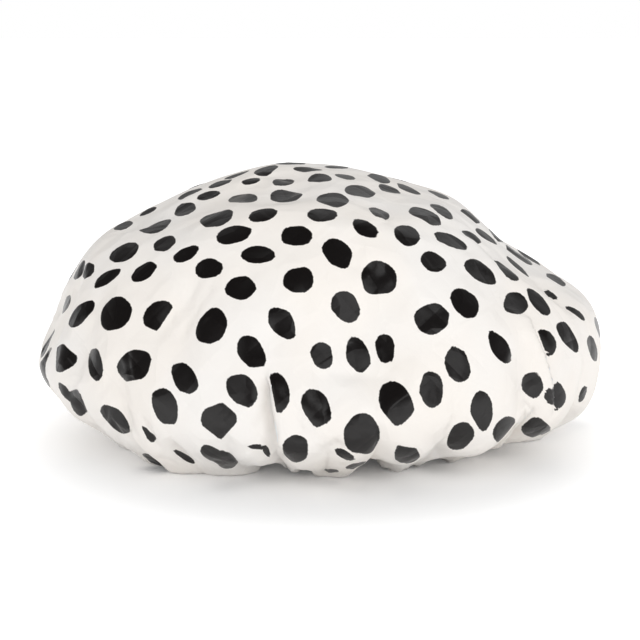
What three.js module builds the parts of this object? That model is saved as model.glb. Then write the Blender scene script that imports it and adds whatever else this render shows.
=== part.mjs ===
// Shower cap: a printed outer shell and a waterproof lining, gathered together into a folded hem
// binding that carries a loop of flat elastic.
//
// Millimetres, +Z up. The cap rests hem down on a flat surface at Z = 0, crown up, with its front
// towards -Y. The origin is the middle of its footprint on that surface.
//
// Every piece follows one sheet of cloth. A place on the sheet is an azimuth, in radians from the
// front and growing towards +X, and a share of the way from the crown, 0, to the cut edge, 1.

import * as THREE from "three";

// The puffed form at rest
const capWidth = 290;
const capDepth = 278;
const capHeight = 134;

// The mouth, with the elastic relaxed
const mouthRadius = 72; // from the axis to the cut edge of the cloth
const mouthHeight = 5.5; // the cut edge stands this far off the surface

// The gathers that the elastic draws in
const gatherDepth = 7.5; // from the crest of an average puff to the bottom of the tuck beside it
const creaseDepth = 1.6; // how far a tuck's line still shows above the gathers

// Cloth, film and elastic
const shellThickness = 0.6;
const liningThickness = 0.5;
const layerGap = 0.35; // air between two layers that lie on each other
const bindingThickness = 0.7;
const bindingOverlap = 5; // how far the binding reaches over the cut edges
const elasticWidth = 6;
const elasticThickness = 1.2;
const elasticClearance = 0.4; // round the elastic inside its channel

// Half of a meridian on each side, from the crown to the foot of the cloth, as shares of the half
// width or half depth and of the height. The front carries a broad crown, a shoulder and a steep
// wall, the right falls like a cone from a small crown, and the left is a full dome.
const frontShares = [
  [0, 1],
  [0.22, 0.985],
  [0.44, 0.95],
  [0.62, 0.9],
  [0.75, 0.81],
  [0.86, 0.68],
  [0.95, 0.49],
  [1, 0.27],
  [0.99, 0.12],
  [0.925, 0.022],
  [0.82, -0.03],
];
const rightShares = [
  [0, 1],
  [0.18, 0.965],
  [0.36, 0.905],
  [0.5, 0.845],
  [0.68, 0.7],
  [0.84, 0.585],
  [0.965, 0.465],
  [1, 0.29],
  [0.97, 0.13],
  [0.89, 0.02],
  [0.79, -0.03],
];
const backShares = [
  [0, 1],
  [0.22, 0.985],
  [0.44, 0.93],
  [0.64, 0.85],
  [0.8, 0.73],
  [0.9, 0.58],
  [0.97, 0.41],
  [1, 0.26],
  [0.97, 0.12],
  [0.88, 0.016],
  [0.79, -0.03],
];
const leftShares = [
  [0, 1],
  [0.2, 0.995],
  [0.42, 0.92],
  [0.6, 0.842],
  [0.785, 0.728],
  [0.905, 0.56],
  [0.97, 0.39],
  [1, 0.27],
  [0.94, 0.14],
  [0.865, 0.055],
  [0.77, -0.02],
];

// How far out the foot stands in each direction, in degrees from the front, as shares of the
// meridian's own reach. The foot is what lies below this share of the height.
const footReachShares = [
  [0, 0.925],
  [12, 0.88],
  [21, 0.86],
  [39, 0.87],
  [55, 0.84],
  [74, 0.94],
  [110, 0.97],
  [180, 0.98],
  [250, 0.96],
  [279, 0.93],
  [306, 0.9],
  [323, 0.975],
  [333, 0.955],
];
const footTopShare = 0.16;
const footBottomShare = 0.01;
const footEndShares = [1.25, -0.022]; // where the cloth leaves the surface: mouth radii and heights

// Broad swells and dents of the wall: the azimuth in degrees and its half span, the share of the
// way from crown to cut edge and its half span, and the rise as a share of the height.
const swellShares = [
  [9, 13, 0.545, 0.065, -0.04],
  [6, 34, 0.3, 0.05, 0.02],
  [72, 12, 0.56, 0.09, 0.015],
];

// The puffs between the tucks, round from the front, as shares of the average puff's width. A
// wide puff takes three facets across and a narrow one takes two.
const puffWidthShares = [
  0.62, 0.98, 1.25, 1.43, 1.26, 1.02, 1.16, 1.02, 1.24, 0.74, 1.12, 1.06, 1.2, 0.72, 1.14, 1.02,
  1.26, 0.78, 1.11, 1.04, 0.69, 0.8, 0.59, 0.75,
];
const widePuffShare = 0.97;
const frontTuckTurnShare = 0.0047; // the first tuck lies this share of a turn past the front

// How deep the tuck is that each puff starts from, as a share of an average one
const tuckDepthShares = [
  0.5, 1.35, 1.1, 1.5, 0.8, 0.9, 1, 0.8, 0.9, 1.1, 1, 0.8, 0.9, 1.1, 0.9, 1, 0.8, 0.9, 0.8, 1,
  0.8, 0.7, 0.8, 1.5,
];

// How the gathers grow along the sheet, as shares of the way from crown to cut edge
const gatherStartShare = 0.4;
const gatherFullShare = 0.8;
const edgeGatherShare = 0.28; // what is left of the gathers' depth at the cut edge
const creaseStartShare = 0.2;

// The rings of the mesh, as shares of the way from crown to cut edge, with how many facets of the
// gathered edge one facet spans there. Two more rings follow, where the binding starts and at the
// cut edge.
const ringSpanShares = [
  [0.12, 4],
  [0.235, 2],
  [0.35, 2],
  [0.465, 1],
  [0.57, 1],
  [0.665, 1],
  [0.748, 1],
  [0.825, 1],
  [0.893, 1],
  [0.928, 1],
];

const fullTurn = 2 * Math.PI;

// Places where one puff ends and the next begins, each as an azimuth with the puff's own width.
function layOutPuffs() {
  const total = puffWidthShares.reduce((sum, width) => sum + width, 0);
  let azimuth = frontTuckTurnShare * fullTurn;
  return puffWidthShares.map((width, i) => {
    const turn = (width / total) * fullTurn;
    const depths = [tuckDepthShares[i], tuckDepthShares[(i + 1) % tuckDepthShares.length]];
    const puff = { start: azimuth, turn, width, depths };
    azimuth += turn;
    return puff;
  });
}

const puffs = layOutPuffs();

// Azimuths of the facets' corners, so that each tuck falls on a corner.
const edgeAzimuths = puffs.flatMap(({ start, turn, width }) => {
  const facets = width >= widePuffShare ? 3 : 2;
  return Array.from({ length: facets }, (_, i) => start + (turn * i) / facets);
});

// How far a place lies down in a tuck, in shares of the average puff's depth: 0 on a crest.
function tuckShare(azimuth) {
  const turned = THREE.MathUtils.euclideanModulo(azimuth - puffs[0].start, fullTurn);
  const puff = puffs.findLast(({ start }) => start - puffs[0].start <= turned);
  const across = (turned - (puff.start - puffs[0].start)) / puff.turn;
  const depth = THREE.MathUtils.lerp(...puff.depths, THREE.MathUtils.smoothstep(across, 0.3, 0.7));
  return puff.width * depth * (1 - Math.sin(Math.PI * across));
}

// The depth of a tuck at a share of the way along the sheet.
function tuckDepth(share) {
  const rise = THREE.MathUtils.smoothstep(share, gatherStartShare, gatherFullShare);
  const fall = THREE.MathUtils.smoothstep(share, gatherFullShare, 1);
  const crease = THREE.MathUtils.smoothstep(share, creaseStartShare, gatherStartShare);
  const gathered = gatherDepth * rise * THREE.MathUtils.lerp(1, edgeGatherShare, fall);
  return Math.max(gathered, creaseDepth * crease * (1 - fall));
}

// The foot's reach at an azimuth, between the directions that are given.
function footReach(azimuth) {
  const turned = THREE.MathUtils.euclideanModulo(THREE.MathUtils.radToDeg(azimuth), 360);
  const from = footReachShares.findLastIndex(([degrees]) => degrees <= turned);
  const [start, reach] = footReachShares[from];
  const [end, nextReach] = footReachShares[from + 1] ?? [360, footReachShares[0][1]];
  return THREE.MathUtils.mapLinear(turned, start, end, reach, nextReach);
}

// The meridian at an azimuth, as a curve of radius against height.
function makeMeridian(azimuth) {
  const ahead = Math.cos(azimuth) > 0 ? frontShares : backShares;
  const aside = Math.sin(azimuth) > 0 ? rightShares : leftShares;
  const sideways = Math.sin(azimuth) ** 2;
  const reach = 1 / Math.hypot(Math.sin(azimuth) / (capWidth / 2), Math.cos(azimuth) / (capDepth / 2));
  const foot = footReach(azimuth);
  const points = ahead.map(([aheadRadius, aheadHeight], i) => {
    const [asideRadius, asideHeight] = aside[i];
    const height = THREE.MathUtils.lerp(aheadHeight, asideHeight, sideways);
    const above = THREE.MathUtils.smoothstep(height, footBottomShare, footTopShare);
    const radius = THREE.MathUtils.lerp(aheadRadius, asideRadius, sideways);
    return new THREE.Vector2(
      reach * radius * THREE.MathUtils.lerp(foot, 1, above),
      capHeight * height,
    );
  });
  const footEnd = new THREE.Vector2(mouthRadius * footEndShares[0], capHeight * footEndShares[1]);
  return new THREE.SplineCurve([...points, footEnd, new THREE.Vector2(mouthRadius, mouthHeight)]);
}

// How far the wall's swells and dents move the cloth out.
function swellRise(azimuth, share) {
  return swellShares.reduce((rise, [degrees, halfTurn, middle, halfReach, height]) => {
    const turn = THREE.MathUtils.radToDeg(azimuth) - degrees;
    const away = THREE.MathUtils.euclideanModulo(turn + 180, 360) - 180;
    const bell = Math.exp(-((away / halfTurn) ** 2) - ((share - middle) / halfReach) ** 2);
    return rise + capHeight * height * bell;
  }, 0);
}

const meridians = new Map();

function meridianAt(azimuth) {
  if (!meridians.has(azimuth)) meridians.set(azimuth, makeMeridian(azimuth));
  return meridians.get(azimuth);
}

// A point on the outer face of the cloth. What would reach below the surface lies flat on it.
function facePoint(azimuth, share) {
  const meridian = meridianAt(azimuth);
  const place = meridian.getPointAt(share);
  const along = meridian.getTangentAt(share);
  const depth = tuckDepth(share) * tuckShare(azimuth) - swellRise(azimuth, share);
  const radius = place.x + along.y * depth;
  const height = place.y - along.x * depth;
  return new THREE.Vector3(
    radius * Math.sin(azimuth),
    -radius * Math.cos(azimuth),
    Math.max(height, 0),
  );
}

// The direction out of the cloth's face, from points a small step to each side.
function faceNormal(azimuth, share) {
  if (share === 0) return new THREE.Vector3(0, 0, 1);
  const stepShare = 0.004;
  const below = facePoint(azimuth, Math.min(share + stepShare, 1));
  const above = facePoint(azimuth, share - stepShare);
  const right = facePoint(azimuth + stepShare * fullTurn, share);
  const left = facePoint(azimuth - stepShare * fullTurn, share);
  return below.sub(above).cross(right.sub(left)).normalize();
}

// A point at a depth under the outer face.
function clothPoint(azimuth, share, depth) {
  return facePoint(azimuth, share).addScaledVector(faceNormal(azimuth, share), -depth);
}

// The share where the binding starts to cover the cloth, a fixed length short of the cut edge.
function bindingShare(azimuth) {
  return 1 - bindingOverlap / meridianAt(azimuth).getLength();
}

// Triangles between two closed rings of corners, the second with as many corners or twice as many.
function joinRings(upper, lower) {
  const doubled = lower.length === 2 * upper.length;
  return upper.flatMap((corner, i) => {
    const next = upper[(i + 1) % upper.length];
    if (!doubled) {
      const [a, b] = [lower[i], lower[(i + 1) % lower.length]];
      return [corner, a, b, corner, b, next];
    }
    const [a, b, c] = [lower[2 * i], lower[2 * i + 1], lower[(2 * i + 2) % lower.length]];
    return [corner, a, b, corner, b, next, next, b, c];
  });
}

// The same triangles facing the other way.
function turnedRound(corners) {
  return corners.map((_, i) => corners[i - (i % 3) + (2 - (i % 3))]);
}

function geometryOf(corners) {
  const geometry = new THREE.BufferGeometry().setFromPoints(corners);
  geometry.computeVertexNormals();
  return geometry;
}

// The rings of one face of a layer, from the crown's first ring to the cut edge.
function layerRings(depth) {
  const rings = ringSpanShares.map(([share, span]) =>
    edgeAzimuths
      .filter((_, i) => i % span === 0)
      .map((azimuth) => clothPoint(azimuth, share, depth)),
  );
  rings.push(edgeAzimuths.map((azimuth) => clothPoint(azimuth, bindingShare(azimuth), depth)));
  rings.push(edgeAzimuths.map((azimuth) => clothPoint(azimuth, 1, depth)));
  return rings;
}

// One face of a layer: a fan round the crown, then band after band down to the cut edge.
function layerFace(rings, depth) {
  const crown = clothPoint(0, 0, depth);
  const first = rings[0];
  const fan = first.flatMap((corner, i) => [crown, corner, first[(i + 1) % first.length]]);
  const bands = rings.slice(1).flatMap((ring, i) => joinRings(rings[i], ring));
  return [...fan, ...bands];
}

// A layer of cloth or film between two depths under the sheet's outer face.
function makeLayer(outerDepth, innerDepth) {
  const outer = layerRings(outerDepth);
  const inner = layerRings(innerDepth);
  return geometryOf([
    ...layerFace(outer, outerDepth),
    ...turnedRound(layerFace(inner, innerDepth)),
    ...joinRings(outer.at(-1), inner.at(-1)),
  ]);
}

// Depths of the layers under the outer face, and the middle of the stack.
const liningDepth = shellThickness + layerGap;
const stackDepth = liningDepth + liningThickness;
const stackMiddle = stackDepth / 2;

// The channel that the folded binding leaves for the cloth and the elastic
const channelHalfHeight = Math.max(stackMiddle + layerGap, elasticThickness / 2 + elasticClearance);
const channelLength = elasticWidth + 3 * elasticClearance;
const foldFacets = 6;

// A corner of the hem's cross-section: how far past the cut edge, and how far above the middle of
// the stack. A negative reach counts back along the cloth, down to where the binding starts.
function hemPoint(azimuth, reach, rise) {
  if (reach < 0) return clothPoint(azimuth, bindingShare(azimuth), stackMiddle + rise);
  const edge = clothPoint(azimuth, 1, stackMiddle);
  const start = clothPoint(azimuth, bindingShare(azimuth), stackMiddle);
  const inwards = edge.clone().sub(start).normalize();
  return edge
    .addScaledVector(inwards, reach)
    .addScaledVector(faceNormal(azimuth, 1), -rise);
}

// A closed ring swept round the mouth from a cross-section of [reach, rise] corners.
function sweepHem(section) {
  const rings = section.map(([reach, rise]) =>
    edgeAzimuths.map((azimuth) => hemPoint(azimuth, reach, rise)),
  );
  return geometryOf(rings.flatMap((ring, i) => joinRings(ring, rings[(i + 1) % rings.length])));
}

// Half a circle round the closed end of the channel, from below the stack to above it.
function foldCorners(halfHeight) {
  return Array.from({ length: foldFacets + 1 }, (_, i) => {
    const angle = Math.PI * (i / foldFacets - 1 / 2);
    return [channelLength + halfHeight * Math.cos(angle), halfHeight * Math.sin(angle)];
  });
}

// A strip folded over the cut edges: a limb on each face of the stack and a round fold between.
function makeBinding() {
  const outerHalfHeight = channelHalfHeight + bindingThickness;
  const start = -bindingOverlap;
  return sweepHem([
    [start, -outerHalfHeight],
    ...foldCorners(outerHalfHeight),
    [start, outerHalfHeight],
    [start, channelHalfHeight],
    ...foldCorners(channelHalfHeight).reverse(),
    [start, -channelHalfHeight],
  ]);
}

// The flat elastic in the channel, between the cut edge and the fold.
function makeElastic() {
  const near = elasticClearance;
  const far = near + elasticWidth;
  const half = elasticThickness / 2;
  return sweepHem([
    [near, -half],
    [far, -half],
    [far, half],
    [near, half],
  ]);
}

function makeMesh(name, geometry, material) {
  const mesh = new THREE.Mesh(geometry, material);
  mesh.name = name;
  return mesh;
}

const printedCloth = new THREE.MeshStandardMaterial({ color: 0xf3f0ec, roughness: 0.38 });
const clearFilm = new THREE.MeshStandardMaterial({ color: 0xe9ecee, roughness: 0.3 });
const bindingCloth = new THREE.MeshStandardMaterial({ color: 0xf1eeea, roughness: 0.5 });
const knitElastic = new THREE.MeshStandardMaterial({ color: 0xe6e2da, roughness: 0.85 });

const showerCap = new THREE.Group();
showerCap.add(
  makeMesh("outer_shell", makeLayer(0, shellThickness), printedCloth),
  makeMesh("inner_lining", makeLayer(liningDepth, stackDepth), clearFilm),
  makeMesh("hem_binding", makeBinding(), bindingCloth),
  makeMesh("elastic_band", makeElastic(), knitElastic),
);

export default showerCap;
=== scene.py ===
"""A spotted bouffant shower cap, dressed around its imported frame.

The cap is one gathered sheet of coated cloth over a waterproof lining, drawn in by an elastic that
runs in a folded hem. The cloth starts as a flat round cut, is laid over the puffed form, relaxed by
a cloth simulation and creased where the photograph shows folds. The print is then placed on it.

Metres, +Z up, the front towards -Y. A place on the cloth is an azimuth, in radians from the front
and growing towards +X, and a share of the way from the crown, 0, to the cut edge, 1.
"""

from __future__ import annotations

import logging
import math
from dataclasses import dataclass
from enum import Enum
from typing import Any, Sequence

import bpy
import numpy as np
from mathutils import Matrix, Vector
from mathutils.bvhtree import BVHTree

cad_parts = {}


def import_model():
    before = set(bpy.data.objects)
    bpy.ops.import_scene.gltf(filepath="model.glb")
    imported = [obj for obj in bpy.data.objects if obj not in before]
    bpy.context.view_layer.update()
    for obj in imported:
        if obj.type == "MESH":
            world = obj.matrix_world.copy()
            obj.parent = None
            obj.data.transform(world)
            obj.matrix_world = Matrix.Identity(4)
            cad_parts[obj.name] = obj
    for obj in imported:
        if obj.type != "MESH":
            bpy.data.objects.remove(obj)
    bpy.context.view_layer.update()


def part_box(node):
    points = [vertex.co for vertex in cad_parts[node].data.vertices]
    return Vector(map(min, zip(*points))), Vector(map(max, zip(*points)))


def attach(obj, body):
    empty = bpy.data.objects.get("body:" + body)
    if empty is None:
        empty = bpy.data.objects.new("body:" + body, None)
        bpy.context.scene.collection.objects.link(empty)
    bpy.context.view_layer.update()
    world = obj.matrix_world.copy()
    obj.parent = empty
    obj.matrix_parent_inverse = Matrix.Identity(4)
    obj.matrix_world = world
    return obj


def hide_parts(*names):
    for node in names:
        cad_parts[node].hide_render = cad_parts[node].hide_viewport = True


log = logging.getLogger("shower_cap")

FULL_TURN = 2 * math.pi
MM = 0.001
TINY = 1e-12  # a length below this counts as none
CURVE_STEPS = 12  # between two points of a fold's route or of a section
PRINT_SCREENS = 4

Array = np.ndarray


def smoothstep(value: Array, start: float, end: float) -> Array:
    """Eases from 0 at start to 1 at end.

    Args:
        value: Where to look.
        start: The value that gives 0.
        end: The value that gives 1.

    Returns:
        The eased shares, from 0 to 1.
    """
    t = np.clip((value - start) / (end - start), 0, 1)
    return t * t * (3 - 2 * t)


def unit(vectors: Array) -> Array:
    """Vectors of the same directions with a length of 1."""
    return vectors / np.maximum(np.linalg.norm(vectors, axis=-1, keepdims=True), TINY)


# The photograph


@dataclass(frozen=True)
class PhotoView:
    """The camera of the photograph: level with the table's front edge and looking along +Y."""

    elevation: float = math.radians(11.3)
    distance: float = 1.1
    metres_per_pixel: float = 0.517 * MM  # in the plane through the cap's centre
    picture_side: float = 640
    floor_centre_down: float = 425  # pixel row of the floor point under the cap's centre
    sensor: float = 36 * MM
    clip_start: float = 0.05

    @property
    def ahead(self) -> Vector:
        """The direction that the camera looks in."""
        return Vector((0, math.cos(self.elevation), -math.sin(self.elevation)))

    @property
    def upward(self) -> Vector:
        """The direction that is up in the picture."""
        return Vector((0, math.sin(self.elevation), math.cos(self.elevation)))

    @property
    def eye(self) -> Vector:
        """Where the camera stands."""
        rise = (self.floor_centre_down - self.picture_side / 2) * self.metres_per_pixel
        return self.upward * rise - self.ahead * self.distance

    def ray(self, across: float, down: float) -> Vector:
        """The direction from the eye through a pixel of the photograph.

        Args:
            across: Pixels from the picture's left side.
            down: Pixels from the picture's top.

        Returns:
            A direction of length 1.
        """
        spread = self.metres_per_pixel / self.distance
        half = self.picture_side / 2
        aim = self.ahead + Vector((1, 0, 0)) * ((across - half) * spread)
        return (aim + self.upward * ((half - down) * spread)).normalized()

    def pixels(self, points: Array) -> Array:
        """Where points show in the photograph.

        Args:
            points: The points, one row each.

        Returns:
            Pixels across and down, one row each.
        """
        offset = points - np.array(self.eye)
        depth = offset @ np.array(self.ahead)
        scale = self.distance / self.metres_per_pixel / depth
        half = self.picture_side / 2
        rise = offset @ np.array(self.upward)
        return np.stack([half + offset[:, 0] * scale, half - rise * scale], -1)

    def make_camera(self) -> None:
        """Adds the camera and makes it the scene's own."""
        bpy.ops.object.camera_add(location=self.eye)
        camera = bpy.context.object
        camera.name = "photo_camera"
        camera.rotation_euler = self.ahead.to_track_quat("-Z", "Y").to_euler()
        camera.data.sensor_width = self.sensor / MM
        width = self.picture_side * self.metres_per_pixel
        camera.data.lens = self.sensor / MM * self.distance / width
        camera.data.clip_start = self.clip_start
        bpy.context.scene.camera = camera


# The puffed form


@dataclass(frozen=True)
class Outlines:
    """Half outlines of the cap from the crown to the foot of the cloth.

    Each point is a share of the half width or half depth and a share of the height. The four
    sides differ: the left is a full dome, the right falls like a cone from a small crown, and the
    front carries a broad crown, a shoulder and a steep wall.
    """

    front: tuple = (
        (0, 1), (0.22, 0.985), (0.44, 0.95), (0.62, 0.9), (0.75, 0.81), (0.86, 0.68),
        (0.95, 0.49), (1, 0.27), (0.99, 0.12), (0.925, 0.022), (0.82, -0.03),
    )
    right: tuple = (
        (0, 1), (0.18, 0.962), (0.36, 0.898), (0.5, 0.855), (0.68, 0.713), (0.84, 0.592),
        (0.957, 0.465), (0.995, 0.29), (0.965, 0.13), (0.885, 0.02), (0.79, -0.03),
    )
    back: tuple = (
        (0, 1), (0.22, 0.985), (0.44, 0.93), (0.64, 0.85), (0.8, 0.73), (0.9, 0.58),
        (0.97, 0.41), (1, 0.26), (0.97, 0.12), (0.88, 0.016), (0.79, -0.03),
    )
    left: tuple = (
        (0, 1), (0.2, 1.0), (0.42, 0.925), (0.6, 0.838), (0.775, 0.722), (0.895, 0.56),
        (0.962, 0.39), (0.99, 0.27), (0.925, 0.14), (0.86, 0.055), (0.77, -0.02),
    )


@dataclass
class CapForm:
    """The surface that the cloth follows: a puffed dome with tucks and gathers in it."""

    half_width: float
    half_depth: float
    height: float
    mouth_radius: float
    mouth_height: float
    outlines: Outlines = Outlines()
    puff_width_shares: tuple = (  # against each other, round from the front
        0.62, 0.98, 1.25, 1.43, 1.26, 1.02, 1.16, 1.02, 1.24, 0.74, 1.12, 1.06,
        1.2, 0.72, 1.14, 1.02, 1.26, 0.78, 1.11, 1.04, 0.69, 0.8, 0.59, 0.75,
    )
    foot_end_shares: tuple = (1.25, -0.022)  # where the cloth leaves the surface
    tuck_depth_shares: tuple = (  # of the tuck that each puff starts from
        0.5, 0.65, 0.6, 1.1, 0.8, 0.9, 1, 0.8, 0.9, 1.1, 1, 0.8,
        0.9, 1.1, 0.9, 1, 0.8, 0.6, 0.4, 0.4, 0.35, 0.3, 0.4, 1.2,
    )
    front_tuck_turn_share: float = 0.0047
    foot_reach_shares: tuple = (  # by degrees from the front towards the right
        (-3, 0.875), (7, 0.84), (13, 0.83), (21, 0.84), (46, 0.875), (55, 0.84), (74, 0.93),
        (110, 0.97), (180, 0.98), (250, 0.96), (279, 0.94), (306, 0.915), (323, 0.975),
        (337, 0.89), (346, 0.865),
    )
    foot_height_shares: tuple = (0.16, 0.01)  # where the foot's own reach starts and is full
    swell_shares: tuple = (  # degrees, half span, share, half span, move out by height
        (9, 13, 0.545, 0.065, -0.04), (6, 34, 0.3, 0.05, 0.02), (72, 12, 0.56, 0.09, 0.015),
    )
    foot_notch_shares: tuple = (  # the same, of how far the foot's edge is lifted between lobes
        (-14, 3.4, 0.9, 0.06, 0.11), (-4, 2.5, 0.9, 0.06, 0.07), (15, 4, 0.9, 0.06, 0.1),
        (34, 3.6, 0.9, 0.06, 0.11), (57, 4.5, 0.9, 0.06, 0.09),
    )
    tuck_blend_shares: tuple = (0.3, 0.7)  # of a puff, from its first tuck's depth to its last's
    gather_depth: float = 7.5 * MM
    crease_depth: float = 0.9 * MM
    gather_start_share: float = 0.56
    gather_full_share: float = 0.85
    edge_gather_share: float = 0.28
    crease_start_share: float = 0.2
    pleats_per_width: float = 3.7
    pleat_depth: float = 11.5 * MM
    pleat_start_share: float = 0.79
    pleat_full_share: float = 0.89
    front_pleat_delay_share: float = 0.08  # the pleats start later where they would show
    front_reach_share: float = 0.3  # how far the front blends into the back, by the cosine
    edge_pleat_share: float = 0.14
    pleat_uneven_share: float = 0.2
    pleat_phases: tuple = (2.4, 9)  # of the unevenness, by puff and by share
    pinch_start_share: float = 0.93
    pinch_end_share: float = 0.982
    azimuth_steps: int = 720
    share_steps: int = 400
    outline_steps: int = 60  # between two points of an outline
    face_step_share: float = 0.006  # to each side, for the direction of the face
    most_lift: float = 1 * MM  # of an inner layer off the table

    def __post_init__(self) -> None:
        """Works out where the puffs start and tabulates the smooth dome."""
        widths = np.array(self.puff_width_shares)
        turns = widths / widths.sum() * FULL_TURN
        self.puff_turns = turns
        self.puff_starts = self.front_tuck_turn_share * FULL_TURN + np.r_[0, np.cumsum(turns)[:-1]]
        self.table = self._tabulate()

    @property
    def cut_size(self) -> tuple[float, float]:
        """The width and the area of the round cut that the form takes."""
        return 2 * self.meridian_length, math.pi * self.meridian_length**2

    def _outline_points(self, azimuth: Array) -> Array:
        """Blends the four half outlines and leads them on to the mouth.

        Args:
            azimuth: Where, round from the front.

        Returns:
            For each azimuth a row of points, each a radius and a height.
        """
        sine, cosine = np.sin(azimuth), np.cos(azimuth)
        o = self.outlines
        ahead = np.where(cosine[:, None, None] > 0, np.array(o.front), np.array(o.back))
        aside = np.where(sine[:, None, None] > 0, np.array(o.right), np.array(o.left))
        blend = (sine**2)[:, None, None]
        points = (1 - blend) * ahead + blend * aside
        degrees, feet = np.array(self.foot_reach_shares, float).T
        foot = np.interp(np.degrees(azimuth), degrees, feet, period=360)
        start, full = self.foot_height_shares
        low = smoothstep(-points[..., 1], -start, -full)
        points[..., 0] *= 1 + low * (foot[:, None] - 1)
        reach = 1 / np.hypot(sine / self.half_width, cosine / self.half_depth)
        points = points * np.stack([reach, np.full_like(reach, self.height)], -1)[:, None]
        foot_end = np.array(self.foot_end_shares) * (self.mouth_radius, self.height)
        ends = [foot_end, (self.mouth_radius, self.mouth_height)]
        return np.concatenate([points, np.broadcast_to(ends, (len(azimuth), 2, 2))], 1)

    def _tabulate(self) -> Array:
        """Divides the outlines evenly.

        Returns:
            Radius and height on the smooth dome, by azimuth and share.
        """
        azimuth = np.arange(self.azimuth_steps) * FULL_TURN / self.azimuth_steps
        line = catmull_rom(self._outline_points(azimuth), self.outline_steps)
        steps = np.linalg.norm(np.diff(line, axis=1), axis=-1)
        run = np.concatenate([np.zeros((len(azimuth), 1)), np.cumsum(steps, 1)], 1)
        self.meridian_length = float(run[:, -1].mean())
        wanted = np.linspace(0, 1, self.share_steps)
        rows = [
            np.stack([np.interp(wanted * r[-1], r, p[:, k]) for k in (0, 1)], -1)
            for r, p in zip(run, line)
        ]
        return np.stack(rows)

    def dome(self, azimuth: Array, share: Array) -> Array:
        """Points on the smooth dome, before any tuck.

        Args:
            azimuth: Where, round from the front.
            share: Where, from the crown to the cut edge.

        Returns:
            The points.
        """
        across = np.mod(azimuth, FULL_TURN) / FULL_TURN * self.azimuth_steps
        i = np.floor(across).astype(int) % self.azimuth_steps
        j = (i + 1) % self.azimuth_steps
        s = (across - np.floor(across))[..., None]
        along = np.clip(share, 0, 1) * (self.share_steps - 1)
        k = np.minimum(np.floor(along).astype(int), self.share_steps - 2)
        t = (along - k)[..., None]
        near = (1 - t) * self.table[i, k] + t * self.table[i, k + 1]
        far = (1 - t) * self.table[j, k] + t * self.table[j, k + 1]
        radius, height = np.moveaxis((1 - s) * near + s * far, -1, 0)
        return np.stack([radius * np.sin(azimuth), -radius * np.cos(azimuth), height], -1)

    def outward(self, azimuth: Array, share: Array) -> Array:
        """Directions out of the smooth dome's face.

        Args:
            azimuth: Where, round from the front.
            share: Where, from the crown to the cut edge.

        Returns:
            One direction of length 1 for each place.
        """
        step = self.face_step_share
        below = self.dome(azimuth, np.minimum(share + step, 1))
        above = self.dome(azimuth, np.maximum(share - step, 0))
        turn = step * FULL_TURN
        right = self.dome(azimuth + turn, np.maximum(share, step))
        left = self.dome(azimuth - turn, np.maximum(share, step))
        return unit(np.cross(below - above, right - left))

    def puff_place(self, azimuth: Array) -> tuple[Array, Array]:
        """Finds the puffs.

        Args:
            azimuth: Where, round from the front.

        Returns:
            The puff that holds each azimuth, and how far across it the azimuth lies, 0 to 1.
        """
        turned = np.mod(azimuth - self.puff_starts[0], FULL_TURN)
        starts = self.puff_starts - self.puff_starts[0]
        puff = np.clip(np.searchsorted(starts, turned, side="right") - 1, 0, len(starts) - 1)
        return puff, (turned - starts[puff]) / self.puff_turns[puff]

    def sunk(self, azimuth: Array, share: Array, pleated: float = 1) -> Array:
        """How far tucks, swells and fine pleats draw the cloth in.

        Args:
            azimuth: Where, round from the front.
            share: Where, from the crown to the cut edge.
            pleated: The share of the fine pleats' depth that the cloth keeps.

        Returns:
            The depths under the smooth dome.
        """
        puff, across = self.puff_place(azimuth)
        width = np.array(self.puff_width_shares)[puff]
        deep = np.array(self.tuck_depth_shares)
        ease = smoothstep(across, *self.tuck_blend_shares)
        deep = deep[puff] * (1 - ease) + deep[(puff + 1) % len(deep)] * ease
        tuck = width * deep * (1 - np.sin(np.pi * across))
        rise = smoothstep(share, self.gather_start_share, self.gather_full_share)
        fall = smoothstep(share, self.gather_full_share, 1)
        crease = smoothstep(share, self.crease_start_share, self.gather_start_share)
        gathered = self.gather_depth * rise * (1 + (self.edge_gather_share - 1) * fall)
        depth = np.maximum(gathered, self.crease_depth * crease * (1 - fall))
        front = smoothstep(np.cos(azimuth), -self.front_reach_share, self.front_reach_share)
        delay = self.front_pleat_delay_share * front
        grow = smoothstep(share - delay, self.pleat_start_share, self.pleat_full_share)
        fade = smoothstep(share, self.pinch_start_share, self.pinch_end_share)
        pleat = self.pleat_depth * grow * (1 + (self.edge_pleat_share - 1) * fade)
        count = np.maximum(2, np.round(self.pleats_per_width * width))
        by_puff, by_share = self.pleat_phases
        swing = np.sin(by_puff * puff + by_share * share)
        uneven = 1 - self.pleat_uneven_share + self.pleat_uneven_share * swing
        wave = 0.5 - 0.5 * np.cos(FULL_TURN * count * across)
        swell = self._bells(azimuth, share, self.swell_shares)
        return depth * tuck - swell + pleated * pleat * uneven * wave

    def _bells(self, azimuth: Array, share: Array, bells: tuple) -> Array:
        """Adds up bell-shaped moves of the wall.

        Args:
            azimuth: Where, round from the front.
            share: Where, from the crown to the cut edge.
            bells: For each one its degrees, half span, share, half span and size by height.

        Returns:
            The moves in metres.
        """
        rise = np.zeros(np.broadcast(azimuth, share).shape)
        for degrees, half_turn, middle, half_reach, height in bells:
            away = np.mod(np.degrees(azimuth) - degrees + 180, 360) - 180
            bell = np.exp(-((away / half_turn) ** 2) - ((share - middle) / half_reach) ** 2)
            rise = rise + self.height * height * bell
        return rise

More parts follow.
